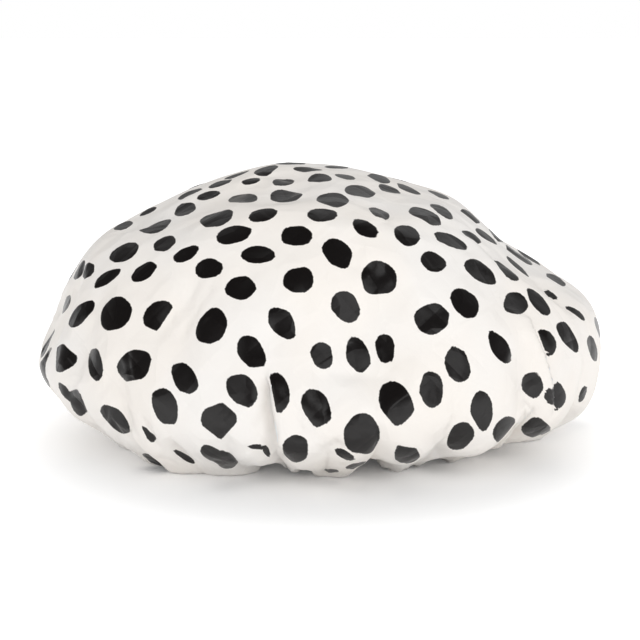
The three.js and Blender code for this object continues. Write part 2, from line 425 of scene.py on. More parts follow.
    def place(
        self, azimuth: Array, share: Array, inset: Array | float = 0, pleated: float = 1
    ) -> Array:
        """Points on the cloth's outer face, or inside it.

        Args:
            azimuth: Where, round from the front.
            share: Where, from the crown to the cut edge.
            inset: How far inside the outer face.
            pleated: The share of the fine pleats' depth that the cloth keeps.

        Returns:
            The points, none of them below the surface that the cap stands on.
        """
        depth = self.sunk(azimuth, share, pleated) + inset
        points = self.dome(azimuth, share) - self.outward(azimuth, share) * depth[..., None]
        points[..., 2] += self._bells(azimuth, share, self.foot_notch_shares)
        points[..., 2] = np.maximum(points[..., 2], np.minimum(inset, self.most_lift))
        return points


def catmull_rom(points: Array, steps: int) -> Array:
    """Smooth curves through rows of points.

    Args:
        points: One row of points for each curve.
        steps: How many places to give between two points.

    Returns:
        The curves' places, row by row, both ends included.
    """
    padded = np.concatenate([points[:, :1], points, points[:, -1:]], 1)
    t = (np.arange(steps) / steps)[None, :, None]
    spans = []
    for k in range(points.shape[1] - 1):
        a, b, c, d = (padded[:, k + i, None] for i in range(4))
        v0, v1 = (c - a) / 2, (d - b) / 2
        spans.append(
            (2 * b - 2 * c + v0 + v1) * t**3 + (3 * c - 3 * b - 2 * v0 - v1) * t**2 + v0 * t + b
        )
    spans.append(points[:, -1:])
    return np.concatenate(spans, 1)


# Meshes as arrays


def vectors_of(items: Any, name: str) -> Array:
    """The vectors that a mesh's items hold under a name, one row each."""
    flat = np.empty(len(items) * 3, np.float32)
    items.foreach_get(name, flat)
    return flat.reshape(-1, 3).astype(float)


def points_of(mesh: bpy.types.Mesh) -> Array:
    """The mesh's vertices, one row each."""
    return vectors_of(mesh.vertices, "co")


def set_points(mesh: bpy.types.Mesh, points: Array) -> None:
    """Moves the mesh's vertices to new places."""
    mesh.vertices.foreach_set("co", np.ascontiguousarray(points, np.float32).ravel())
    mesh.update()


def normals_of(mesh: bpy.types.Mesh) -> Array:
    """The mesh's vertex normals, one row each."""
    return vectors_of(mesh.vertex_normals, "vector")


def put_attribute(mesh: bpy.types.Mesh, name: str, values: Array) -> None:
    """Stores one number for each vertex under a name that a material can read."""
    layer = mesh.attributes.new(name, "FLOAT", "POINT")
    layer.data.foreach_set("value", np.ascontiguousarray(values, np.float32))


def attribute_of(mesh: bpy.types.Mesh, name: str) -> Array:
    """The numbers that are stored for each vertex under a name."""
    values = np.empty(len(mesh.vertices), np.float32)
    mesh.attributes[name].data.foreach_get("value", values)
    return values.astype(float)


def select_only(piece: bpy.types.Object) -> None:
    """Selects one object and makes it the active one."""
    bpy.ops.object.select_all(action="DESELECT")
    piece.select_set(True)
    bpy.context.view_layer.objects.active = piece


def apply_modifier(piece: bpy.types.Object, name: str) -> None:
    """Applies one modifier of a piece."""
    select_only(piece)
    bpy.ops.object.modifier_apply(modifier=name)


def add_grid(name: str, columns: int, rows: int) -> bpy.types.Object:
    """Adds a flat grid that reaches from -1 to 1 both ways.

    Args:
        name: The piece's name.
        columns: How many cells there are along x.
        rows: How many cells there are along y.

    Returns:
        The grid, selected and active.
    """
    bpy.ops.object.select_all(action="DESELECT")
    bpy.ops.mesh.primitive_grid_add(x_subdivisions=columns, y_subdivisions=rows, size=2)
    piece = bpy.context.object
    piece.name = piece.data.name = name
    return piece


@dataclass
class FlatCut:
    """A round cut of cloth, meshed as a square grid whose squares are eased into a disc.

    Such a mesh has no pole at the crown, and its outermost ring follows the cut edge.
    """

    cells: int
    radius: float

    def make(self, name: str) -> bpy.types.Object:
        """Adds the cut, flat, with its flat places and shares stored on it.

        Args:
            name: The piece's name.

        Returns:
            The cut.
        """
        piece = add_grid(name, self.cells, self.cells)
        square = points_of(piece.data)[:, :2]
        u, v = square[:, 0], square[:, 1]
        share = np.maximum(abs(u), abs(v))
        wide = abs(u) > abs(v)
        slope = np.where(wide, v / np.where(wide, u, 1), u / np.where(wide | (v == 0), 1, v))
        angle = np.where(wide, slope * math.pi / 4, math.pi / 2 - slope * math.pi / 4)
        angle = angle + np.where(np.where(wide, u, v) < 0, math.pi, 0)
        flat = np.stack([np.cos(angle), np.sin(angle)], -1) * share[:, None] * self.radius
        set_points(piece.data, np.c_[flat, np.zeros(len(flat))])
        put_attribute(piece.data, "share", share)
        put_attribute(piece.data, "flat_x", flat[:, 0])
        put_attribute(piece.data, "flat_y", flat[:, 1])
        return piece


def cloth_places(piece: bpy.types.Object) -> tuple[Array, Array]:
    """Azimuth and share of each vertex of a cut."""
    x, y = attribute_of(piece.data, "flat_x"), attribute_of(piece.data, "flat_y")
    return np.arctan2(x, -y), attribute_of(piece.data, "share")


# The cloth simulation


@dataclass
class Buckling:
    """Lets spare cloth buckle over the form, by a cloth simulation of a coarse cut."""

    form: CapForm
    cells: int = 120
    spare_share: float = 0.05  # how much longer the cloth is than the form
    frames: int = 14
    grip: float = 0.07  # how firmly the form holds the cloth where it is free
    broad: float = 9  # in cells; what is broader than this is left to the form
    most: float = 2.6 * MM
    sunk: float = 1.1 * MM  # how far the buckled cloth lies inside the form on the whole
    free_share: float = 0.74
    held_share: float = 0.86
    mass: float = 0.05
    stretch: float = 20
    bend: float = 6
    quality: int = 6
    start_noise: float = 0.1 * MM  # so that the cloth has somewhere to buckle from
    seed: int = 4

    def __post_init__(self) -> None:
        """Runs the simulation and works out the buckles from it."""
        side = self.cells + 1
        self.field = np.zeros((side, side, 3))
        moved = self._simulated().reshape(side, side, 3)
        place = np.arange(side)
        bells = np.exp(-(((place[:, None] - place) / self.broad) ** 2))
        moved = moved - self._both_ways(bells / bells.sum(1, keepdims=True), moved)
        size = np.linalg.norm(moved, axis=-1, keepdims=True)
        moved = moved * np.tanh(size / self.most) * self.most / np.maximum(size, TINY)
        self.field = moved - self.sinking.reshape(side, side, 3)
        log.info("buckling: %.2f mm at most", size.max() / MM)

    def _simulated(self) -> Array:
        """Gives a coarse cut spare cloth and lets it settle.

        Returns:
            How far each of its vertices moves.
        """
        piece = FlatCut(self.cells, self.form.meridian_length).make("buckling_cloth")
        azimuth, share = cloth_places(piece)
        start = self.form.place(azimuth, share, 0, 0)
        start += np.random.default_rng(self.seed).normal(0, self.start_noise, start.shape)
        set_points(piece.data, start)
        held = piece.vertex_groups.new(name="held")
        hold = self.grip + (1 - self.grip) * smoothstep(share, self.free_share, self.held_share)
        for index, weight in enumerate(hold):
            held.add([index], weight, "REPLACE")
        modifier = piece.modifiers.new("cloth", "CLOTH")
        modifier.collision_settings.use_collision = False
        settings = modifier.settings
        settings.vertex_group_mass = held.name
        settings.shrink_min = -self.spare_share
        settings.effector_weights.gravity = 0
        settings.mass = self.mass
        settings.tension_stiffness = settings.compression_stiffness = self.stretch
        settings.bending_stiffness = self.bend
        settings.quality = self.quality
        scene = bpy.context.scene
        for frame in range(1, self.frames + 1):
            scene.frame_set(frame)
        apply_modifier(piece, modifier.name)
        moved = points_of(piece.data) - start
        free = 1 - smoothstep(share, self.free_share, self.held_share)
        self.sinking = self.form.outward(azimuth, share) * free[:, None] * self.sunk
        scene.frame_set(1)
        bpy.data.objects.remove(piece)
        return moved

    @staticmethod
    def _both_ways(weights: Array, field: Array) -> Array:
        """A grid of vectors with weights applied along its rows and its columns."""
        return np.einsum("ja,abk,ib->jik", weights, field, weights, optimize=True)

    def on_cut(self, cells: int) -> Array:
        """Spreads the buckles over a finer cut, by Catmull-Rom weights of the coarse one's rows.

        Args:
            cells: How many cells the finer cut has along each side.

        Returns:
            How far each of its vertices moves.
        """
        place = np.arange(cells + 1) * self.cells / cells
        first = np.minimum(np.floor(place).astype(int), self.cells - 1)
        t = place - first
        shares = (
            -t / 2 + t**2 - t**3 / 2,
            1 - 2.5 * t**2 + 1.5 * t**3,
            t / 2 + 2 * t**2 - 1.5 * t**3,
            (t**3 - t**2) / 2,
        )
        weights = np.zeros((cells + 1, self.cells + 1))
        rows = np.arange(cells + 1)
        for step, share in zip((-1, 0, 1, 2), shares):
            np.add.at(weights, (rows, np.clip(first + step, 0, self.cells)), share)
        return self._both_ways(weights, self.field).reshape(-1, 3)


# Folds


class FoldKind(Enum):
    """How a fold's cross-section goes."""

    VALLEY = "valley"
    RIDGE = "ridge"
    LAP = "lap"  # the cloth on one side rides over a groove on the other


@dataclass(frozen=True)
class Fold:
    """One fold, along pixels of the photograph.

    Attributes:
        kind: Its cross-section.
        route: Pixels of the photograph that it runs through.
        depth: How deep or high it is.
        reach: How far to each side it is felt.
        blunt: Whether it keeps its depth at its last pixel.
        left: Whether a lap's groove lies to the left of the route as it runs down the picture.
    """

    kind: FoldKind
    route: tuple
    depth: float
    reach: float
    blunt: bool = False
    left: bool = False


@dataclass
class Sighting:
    """Finds the cloth behind a pixel of the photograph."""

    view: PhotoView
    piece: bpy.types.Object

    def __post_init__(self) -> None:
        """Sorts the cloth's faces for ray casting."""
        self.tree = BVHTree.FromObject(self.piece, bpy.context.evaluated_depsgraph_get())

    def land(self, across: float, down: float) -> tuple[Vector, Vector] | None:
        """Where a pixel's ray meets the cloth, and the face's normal there."""
        place, normal, _, _ = self.tree.ray_cast(self.view.eye, self.view.ray(across, down))
        return None if place is None else (place, normal)


@dataclass
class FoldLine:
    """A fold with its route on the cloth, ready to be pressed into any layer."""

    fold: Fold
    route: Array
    drawn_from: float = 6 * MM  # on each side of a lap's edge
    felt_reaches: float = 4  # further off than this a fold moves nothing
    fade_in_shares: tuple = (-0.02, 0.3)  # of the route
    fade_out_shares: tuple = (0.7, 1.02)
    bell_share: float = 0.5  # of the reach, over which a valley or ridge falls by e
    groove_fall: float = 2.2  # how many times a lap's groove falls by e over one reach
    lip_height_share: float = 0.35  # of the depth
    lip_share: float = 0.55  # of the reach, as is the next
    edge_share: float = 0.06  # over which the groove and the lip start at the lap's edge

    @staticmethod
    def trace(folds: Sequence[Fold], sighting: Sighting) -> list[FoldLine]:
        """Finds the routes of folds on the cloth.

        Args:
            folds: The folds, along pixels of the photograph.
            sighting: The cloth that they run on.

        Returns:
            The folds with their routes.
        """
        lines = []
        for fold in folds:
            landed = [sighting.land(*pixel) for pixel in fold.route]
            route = np.array([hit[0] for hit in landed if hit is not None], float)
            if len(route) > 1:
                lines.append(FoldLine(fold, catmull_rom(route[None], CURVE_STEPS)[0]))
        return lines

    def move(self, points: Array, normals: Array) -> Array:
        """How far the fold moves each point.

        A lap first draws the points beside it to its edge, so that the edge comes out sharp.

        Args:
            points: The layer's points.
            normals: The directions out of its face.

        Returns:
            One move for each point.
        """
        fold, line = self.fold, self.route
        start, leg = line[:-1], np.diff(line, axis=0)
        length = np.linalg.norm(leg, axis=1)
        run = np.r_[0, np.cumsum(length)]
        felt = run[-1] / 2 + self.felt_reaches * fold.reach
        near = np.linalg.norm(points - line.mean(0), axis=1) < felt
        out = np.zeros_like(points)
        p, n = points[near], normals[near]
        gap = p[:, None] - start[None]
        t = np.clip((gap * leg).sum(-1) / length**2, 0, 1)
        off = gap - t[..., None] * leg
        away = np.linalg.norm(off, axis=-1)
        best = away.argmin(1)
        rows = np.arange(len(p))
        away, off = away[rows, best], off[rows, best]
        side = np.sign((np.cross(leg[best], off) * n).sum(-1))
        side = -side if fold.left else side
        travel = (run[best] + t[rows, best] * length[best]) / run[-1]
        fade = smoothstep(travel, *self.fade_in_shares)
        if not fold.blunt:
            fade = fade * (1 - smoothstep(travel, *self.fade_out_shares))
        drawn = np.clip(1 - away / self.drawn_from, 0, 1) * fade * (fold.kind is FoldKind.LAP)
        height = fold.depth * fade * self._section(away * (1 - drawn) * side / fold.reach)
        out[near] = n * height[:, None] - off * drawn[:, None]
        return out

    def _section(self, distance: Array) -> Array:
        """The fold's cross-section.

        Args:
            distance: Distances from the route in reaches, below 0 on the side that isn't grooved.

        Returns:
            The heights in shares of the depth.
        """
        if self.fold.kind is FoldKind.LAP:
            groove = -np.exp(-np.maximum(distance, 0) * self.groove_fall) * (distance > 0)
            groove = groove * smoothstep(distance, 0, self.edge_share)
            lip = self.lip_height_share * np.exp(-((distance / self.lip_share) ** 2))
            return groove + lip * (distance <= 0) * smoothstep(-distance, 0, self.edge_share)
        bell = np.exp(-np.abs(distance) / self.bell_share)
        return bell if self.fold.kind is FoldKind.RIDGE else -bell


def press(piece: bpy.types.Object, lines: Sequence[FoldLine]) -> None:
    """Moves a layer's vertices by all the folds together."""
    points, normals = points_of(piece.data), normals_of(piece.data)
    points = points + sum(line.move(points, normals) for line in lines)
    points[:, 2] = np.maximum(points[:, 2], 0)
    set_points(piece.data, points)


# The print


@dataclass(frozen=True)
class Spot:
    """One printed spot, as it looks in the photograph.

    Attributes:
        across: Pixels from the picture's left side to its centre.
        down: Pixels from the picture's top to its centre.
        long: Its longer diameter in pixels.
        short: Its shorter diameter in pixels.
        tilt: Degrees that the longer diameter turns down to the right.
        cuts: Sides that are cut off straight: degrees, clockwise from the right, towards each
            one, and its distance from the centre as a share of the spot's radius.
        pointed: Whether its ends are pointed, as a leaf's.
        joined: Whether it runs into the spot before it.
        thin: Whether a crease hides most of it, so that it may be as thin as it looks.
    """

    across: float
    down: float
    long: float
    short: float
    tilt: float = 0
    cuts: tuple = ()
    pointed: bool = False
    joined: bool = False
    thin: bool = False

    def half_axes(self) -> Array:
        """Turns its diameters.

        Returns:
            The halves of the two in the photograph, as columns, in pixels.
        """
        turn = math.radians(self.tilt)
        long = np.array((math.cos(turn), math.sin(turn))) * self.long / 2
        short = np.array((-math.sin(turn), math.cos(turn))) * self.short / 2
        return np.stack([long, short], -1)


PHOTO_SPOTS = (
    Spot(266.2, 169.4, 25, 5, -14), Spot(307.4, 168.9, 30, 5.4), Spot(236.4, 175, 26, 2.6, -19),
    Spot(220.2, 183.3, 25, 4, -17), Spot(250.9, 181.3, 25, 6, -8), Spot(283.5, 182, 22, 7, -2),
    Spot(320, 177.7, 25, 9, 2), Spot(189.7, 194, 28, 3.2, -17), Spot(208.3, 195.6, 24, 9, -13),
    Spot(242.6, 198.5, 29, 11, -6), Spot(286.1, 197.2, 34, 11.2), Spot(332.8, 199.2, 33, 12.6, 5),
    Spot(148.5, 211.5, 19, 3.4, -24), Spot(185.5, 210, 23, 13, -17),
    Spot(215.7, 216.7, 35, 12, -17), Spot(263, 214, 29, 12, -13), Spot(322, 215.1, 31, 13),
    Spot(123.5, 225.5, 25, 9.4, -35), Spot(155, 225.9, 34, 19, -22),
    Spot(234.1, 234.8, 37, 17.5, -10), Spot(296.5, 235.7, 31.5, 20.5, 3),
    Spot(164.6, 244, 25, 13, -22), Spot(123.8, 251.9, 33, 16, -28), Spot(185.9, 253.9, 29, 13, -27),
    Spot(258.1, 255, 35, 17.5), Spot(337.5, 253.2, 35, 25, 48), Spot(208.8, 268.5, 28, 20, -12),
    Spot(78.7, 270, 25, 9, -52), Spot(87.3, 271, 30, 8, -44), Spot(106.3, 278.3, 32, 11.5, -35),
    Spot(144, 271.8, 29.6, 15, -33), Spot(240.9, 288, 32, 23.5, -8), Spot(298.7, 280.1, 31, 26.5),
    Spot(66.4, 304, 30, 5.4, -54), Spot(80, 313.5, 36, 14.5, -45), Spot(116, 313.8, 36, 29, -50),
    Spot(160.5, 316, 35, 30, -20, cuts=((33, 0.36),)), Spot(211.7, 326.5, 38, 28, -65),
    Spot(282, 323, 39, 24, 52, pointed=True), Spot(54, 312, 18, 9, -70),
    Spot(48, 342.5, 35, 7.5, -68),
    Spot(62, 357.8, 29, 28, 90, cuts=((180, 0.57), (-40, 0.78), (50, 0.82))),
    Spot(95.6, 364.9, 33, 14.5, 85), Spot(134.6, 365.8, 36, 30, -45),
    Spot(184.4, 378.1, 35.5, 23, 62), Spot(251.6, 352.6, 37, 25, 58, cuts=((85, 0.86),)),
    Spot(322, 355.5, 28, 22.5, 65), Spot(43.5, 377.2, 7, 2.5, 48), Spot(78.5, 403, 28, 15, 68),
    Spot(65, 391.5, 24, 8, 55, joined=True), Spot(115.3, 418.7, 37, 17.5, 45),
    Spot(165.3, 406.8, 40, 24.5, 68), Spot(242, 390.4, 37, 27.5, 50),
    Spot(277, 392.5, 41, 25, 78, cuts=((169, 0.36),)), Spot(316.4, 407.9, 41, 27, 62),
    Spot(219.2, 421.5, 38, 36.5, 90, cuts=((128, 0.74), (42, 0.74))),
    Spot(147.5, 433, 20, 3.6, 55, thin=True), Spot(151.5, 438, 8, 5, 20, joined=True),
    Spot(156, 460.5, 30, 13, 20), Spot(184.5, 456.8, 26, 4, 32, thin=True),
    Spot(212, 453.5, 25, 14, 25), Spot(226, 461.5, 25, 15, 30, joined=True),
    Spot(256.5, 446.8, 19, 5.4, 4, thin=True),
    Spot(266.3, 451, 14, 5.6, 62, joined=True, thin=True),
    Spot(295.8, 448.5, 28, 26.5, 40, cuts=((0, 0.88),)), Spot(336.6, 167.1, 23, 2.4, 3),
    Spot(379, 177.9, 24, 8, 18), Spot(345.4, 176.5, 21, 4.6, 10), Spot(360.2, 190.9, 33, 13, 10),
    Spot(389.2, 189.8, 23, 9, 22), Spot(408.1, 189.1, 26, 6, 23), Spot(439, 194.5, 24, 4, 26),
    Spot(378.9, 212.2, 25, 7.2, 20), Spot(425.4, 214.4, 35, 11, 22), Spot(441.6, 209.7, 29, 8, 32),
    Spot(470.5, 216, 22, 9.4, 38), Spot(365, 228.3, 29, 15.5, 28), Spot(407.4, 233.7, 29, 15, 25),
    Spot(450.8, 240.9, 36, 12, 26), Spot(471, 237, 24, 9.4, 28), Spot(486.5, 236, 22.5, 3.6, 30),
    Spot(496, 236, 13, 2.4, 36), Spot(433.3, 262.2, 28, 18.5, 25), Spot(480, 271.6, 38, 17.5, 36),
    Spot(506.7, 270, 32, 9.4, 42), Spot(517.5, 266.2, 30, 2.6, 42), Spot(519, 255.2, 33, 10.5, 38),
    Spot(529.5, 258.5, 31, 6.3, 39), Spot(555.5, 279.9, 25, 14, 50), Spot(550.6, 294.7, 28, 4, 43),
    Spot(577, 312.6, 27.5, 5.4, 42), Spot(598.2, 327.2, 22, 3.4, 74), Spot(378.7, 278.3, 36, 34, 0),
    Spot(345.4, 306.8, 34, 26.5, 48), Spot(432.4, 319, 36, 31, -10), Spot(464.7, 303.2, 34, 24, 50),
    Spot(515.5, 303.6, 25, 22.5, 20), Spot(538.9, 301.9, 34, 13, 52),
    Spot(358, 355.2, 38.5, 23, 72), Spot(385.3, 349, 31, 20, 75, cuts=((5, 0.85), (80, 0.9))),
    Spot(457.3, 364.4, 38, 24, 75), Spot(499.8, 347.4, 38.5, 18, 58, pointed=True),
    Spot(544.5, 343.5, 31, 22, 70, cuts=((159, 0.2),)), Spot(567.9, 336.6, 35, 14, 58),
    Spot(593.3, 348.7, 26, 8.4, 75), Spot(532.6, 384.8, 26, 22.5, 90), Spot(550.5, 396, 17, 13, 90),
    Spot(555.5, 396, 30, 20.6, 90, cuts=((180, 0.15),), joined=True),
    Spot(582.7, 393.8, 26, 4.8, -72), Spot(431.2, 389.3, 37, 24, 85),
    Spot(395.7, 403.5, 46, 34, 66, cuts=((140, 0.87), (45, 0.88))),
    Spot(482, 410.2, 42, 23, 86, pointed=True), Spot(361.8, 434.2, 40, 37, 90),
    Spot(460.4, 436.4, 31, 23.5, -50), Spot(505.5, 430.5, 30, 15, -52, cuts=((38, 0.45),)),
    Spot(536.2, 427.7, 31, 20.5, 0, cuts=((-50, 0.8), (-130, 0.84), (5, 0.92))),
    Spot(407, 457.5, 26, 15, cuts=((-90, 0.8),)), Spot(344.5, 454.3, 24, 9, 30),
    Spot(331.5, 470.7, 15, 5, thin=True), Spot(356, 465.5, 13, 4, -15),
)


@dataclass
class SpotPrint:
    """The spots on the cloth: those of the photograph, and like ones where it doesn't look."""

    view: PhotoView
    least_radius: float = 2.4 * MM
    least_grazing_radius: float = 4.8 * MM
    thin_radius: float = 1.4 * MM
    grazing: float = 0.33  # a face that turns less than this towards the camera is seen at a graze
    slanting: float = 0.5  # a face that turns less than this is printed on its own plane
    least_turn: float = -0.1  # the least cosine between a printed face's normal and the spot's
    turn_fade: float = 1.5  # how fast the print deepens with that cosine, for a smooth edge
    least_slope: float = 0.12  # of a ray into the cloth, so that no spot runs on along it
    pointed_power: float = 1.62  # of the outline; 2 is an ellipse
    seen_powers: tuple = (1.9, 2.3)
    hidden_powers: tuple = (1.8, 2.3)
    seen_reach: float = 1.7  # in radii
    hidden_reach: float = 2
    ripples: tuple = ((2, 0.02), (3, 0.035), (5, 0.018), (8, 0.008))  # waves, share of the radius
    trims: int = 3  # nearly straight stretches of an outline
    trim_shares: tuple = (0.89, 1.02)
    most_radius: float = 12.5 * MM
    most_aspect: float = 2.1
    hidden_gap: float = 23.5 * MM  # between the centres of spots that the photograph doesn't show
    hidden_radius: float = 7.6 * MM
    hidden_sizes: tuple = (0.82, 1.18)
    hidden_aspects: tuple = (1, 1.2)
    hidden_turn: float = -0.06  # the least cosine between a hidden face's normal and the view
    hidden_from_share: float = 0.95
    hidden_under: float = 3 * MM  # the front's cloth is out of sight below this height
    least_gap: float = 1.1 * MM
    seed: int = 11

    def lay(self, piece: bpy.types.Object, sighting: Sighting) -> None:
        """Stores on the cloth how deep each vertex lies inside a spot, in metres.

        Neighbouring spots go to different screens, as inks of a print do, so that the bare
        cloth between two spots stays open however narrow it is.

        Args:
            piece: The cloth.
            sighting: The same cloth, ready for finding what a pixel shows.
        """
        self.points, self.normals = points_of(piece.data), normals_of(piece.data)
        self.share = attribute_of(piece.data, "share")
        self.seen = self.view.pixels(self.points)
        self.screens = np.full((PRINT_SCREENS, len(self.points)), -self.hidden_gap)
        self.centres = [[] for _ in range(PRINT_SCREENS)]
        self.draw = np.random.default_rng(self.seed)
        for spot in PHOTO_SPOTS:
            hit = sighting.land(spot.across, spot.down)
            if hit is None:
                log.info("spot at %s, %s misses the cloth", spot.across, spot.down)
                continue
            self._print_seen(spot, np.array(hit[0]), unit(np.array(hit[1])))
        for place, normal in self._hidden_places():
            self._print_hidden(place, normal)
        for screen in range(PRINT_SCREENS):
            others = np.delete(self.screens, screen, 0).max(0)
            parted = (self.screens[screen] - others - self.least_gap) / 2
            inside = np.minimum(self.screens[screen], parted)
            put_attribute(piece.data, f"ink_{screen}", inside)

    def on_cloth(self, spot: Spot, centre: Array, normal: Array) -> Array:
        """Lays a spot of the photograph on the cloth.

        Args:
            spot: The spot.
            centre: Where its centre meets the cloth.
            normal: The direction out of the cloth there.

        Returns:
            Its half axes on the cloth, as columns.
        """
        eye = np.array(self.view.eye)
        ends = []
        for across, down in spot.half_axes().T:
            ray = np.array(self.view.ray(spot.across + across, spot.down + down))
            below = min(float(ray @ normal), -self.least_slope)
            ends.append(eye + ray * (((centre - eye) @ normal) / below) - centre)
        return np.array(ends).T

    def _print_seen(self, spot: Spot, centre: Array, normal: Array) -> None:
        """Prints a spot so that it shows as in the photograph, unless the cloth can't hold it.

        Args:
            spot: The spot.
            centre: Where its centre meets the cloth.
            normal: The direction out of the cloth there.
        """
        ways, sizes, mix = np.linalg.svd(self.on_cloth(spot, centre, normal), full_matrices=False)
        facing = -float(unit(centre - np.array(self.view.eye)) @ normal)
        least = self.least_grazing_radius if facing < self.grazing else self.least_radius
        least = self.thin_radius if spot.thin else least
        kept = np.clip(sizes, least, self.most_radius)
        if not spot.thin:
            kept[0] = min(kept[0], kept[1] * self.most_aspect)
        matrix = spot.half_axes() @ mix.T * (kept / sizes) @ mix
        near = np.linalg.norm(self.points - centre, axis=1) < kept[0] * self.seen_reach
        turned = self.normals[near] @ normal
        if facing < self.slanting:
            offset = self.points[near] - centre
            local = offset @ np.linalg.pinv(ways * kept @ mix).T
        else:
            offset = self.seen[near] - (spot.across, spot.down)
            local = offset @ np.linalg.inv(matrix).T
        power = self.pointed_power if spot.pointed else self.draw.uniform(*self.seen_powers)
        inside = self._depth(local, power)
        for degrees, share in spot.cuts:
            turn = math.radians(degrees)
            towards = matrix.T @ (math.cos(turn), math.sin(turn))
            inside = np.minimum(inside, share - local @ unit(towards))
        inside = np.minimum(inside, (turned - self.least_turn) * self.turn_fade)
        self._add(centre, near, inside * kept.mean(), spot.joined)

    def _print_hidden(self, place: Array, normal: Array) -> None:
        """Prints a spot that the photograph doesn't show.

        Args:
            place: Its centre.
            normal: The direction out of the cloth there.
        """
        aside = unit(np.cross(normal, unit(self.draw.normal(size=3))))
        size = self.hidden_radius * self.draw.uniform(*self.hidden_sizes)
        aspect = self.draw.uniform(*self.hidden_aspects)
        axes = np.stack([aside * size * aspect, np.cross(normal, aside) * size / aspect], -1)
        offset = self.points - place
        close = np.linalg.norm(offset, axis=1) < size * self.hidden_reach
        near = close & (self.normals @ normal > 0)
        local = offset[near] @ np.linalg.pinv(axes).T
        power = self.draw.uniform(*self.hidden_powers)
        self._add(place, near, self._depth(local, power) * size)

    def _depth(self, local: Array, power: float) -> Array:
        """Draws an uneven round outline.

        Args:
            local: Places, in radii from the spot's centre.
            power: How full the outline is: 2 for an ellipse, less for a leaf.

        Returns:
            How far inside the outline each place lies, in shares of its radius.
        """
        angle = np.arctan2(local[:, 1], local[:, 0])
        phases = self.draw.uniform(0, FULL_TURN, len(self.ripples))
        ripple = sum(
            size * np.sin(waves * angle + phase)
            for (waves, size), phase in zip(self.ripples, phases)
        )
        inside = 1 + ripple - (np.abs(local) ** power).sum(-1) ** (1 / power)
        for turn in self.draw.uniform(0, FULL_TURN, self.trims):
            towards = np.array((math.cos(turn), math.sin(turn)))
            inside = np.minimum(inside, self.draw.uniform(*self.trim_shares) - local @ towards)
        return inside

    def _add(self, centre: Array, near: Array, depth: Array, joined: bool = False) -> None:
        """Adds one spot's depths to the screen whose nearest spot is furthest away.

        Args:
            centre: The spot's centre.
            near: Which vertices it can reach.
            depth: How deep inside the spot each of them lies.
            joined: Whether it goes to the last spot's screen, and so runs into that spot.
        """
        room = [
            np.linalg.norm(np.array(spots) - centre, axis=1).min() if spots else math.inf
            for spots in self.centres
        ]
        screen = self.last_screen if joined else int(np.argmax(room))
        self.last_screen = screen
        self.centres[screen].append(centre)
        self.screens[screen, near] = np.maximum(self.screens[screen, near], depth)

    def _hidden_places(self) -> list:
        """Scatters spots evenly where the photograph doesn't look.

        Returns:
            Their centres, each with the direction out of the cloth there.
        """
        facing = (self.normals * unit(self.points - np.array(self.view.eye))).sum(-1)
        taken = np.concatenate([np.array(spots) for spots in self.centres])
        found = []
        under = (self.points[:, 2] < self.hidden_under) & (self.share > self.hidden_from_share)
        hidden = (facing > self.hidden_turn) & (under | (self.points[:, 1] > 0))
        for i in self.draw.permutation(np.flatnonzero(hidden)):
            if np.linalg.norm(taken - self.points[i], axis=1).min() < self.hidden_gap:
                continue
            taken = np.vstack([taken, self.points[i]])
            found.append((self.points[i], self.normals[i]))
        return found


# Materials


class Socket:
    """A shader socket that can be used in sums, as a number can."""

    def __init__(self, tree: bpy.types.NodeTree, socket: bpy.types.NodeSocket) -> None:
        """Wraps one output of a node."""
        self.tree, self.socket = tree, socket

    def _math(self, operation: str, *values: Any) -> Socket:
        """Adds one Math node on the given values."""
        node = self.tree.nodes.new("ShaderNodeMath")
        node.operation = operation
        for entry, value in zip(node.inputs, values):
            connect(self.tree, entry, value)
        return Socket(self.tree, node.outputs[0])

    def __add__(self, other: Any) -> Socket:
        """This plus the other."""
        return self._math("ADD", self, other)

    def __radd__(self, other: Any) -> Socket:
        """The other plus this."""
        return self._math("ADD", other, self)

    def __sub__(self, other: Any) -> Socket:
        """This less the other."""
        return self._math("SUBTRACT", self, other)

    def __rsub__(self, other: Any) -> Socket:
        """The other less this."""
        return self._math("SUBTRACT", other, self)

    def __mul__(self, other: Any) -> Socket:
        """This times the other."""
        return self._math("MULTIPLY", self, other)

    def __rmul__(self, other: Any) -> Socket:
        """The other times this."""
        return self._math("MULTIPLY", other, self)

    def clamp(self) -> Socket:
        """This, kept from 0 to 1."""
        made = self._math("ADD", self, 0.0)
        made.socket.node.use_clamp = True
        return made

    def wave(self) -> Socket:
        """The sine of this."""
        return self._math("SINE", self)


def connect(tree: bpy.types.NodeTree, entry: bpy.types.NodeSocket, value: Any) -> None:
    """Links a socket to another, or gives it a value of its own."""
    if isinstance(value, Socket):
        tree.links.new(value.socket, entry)
    else:
        entry.default_value = value


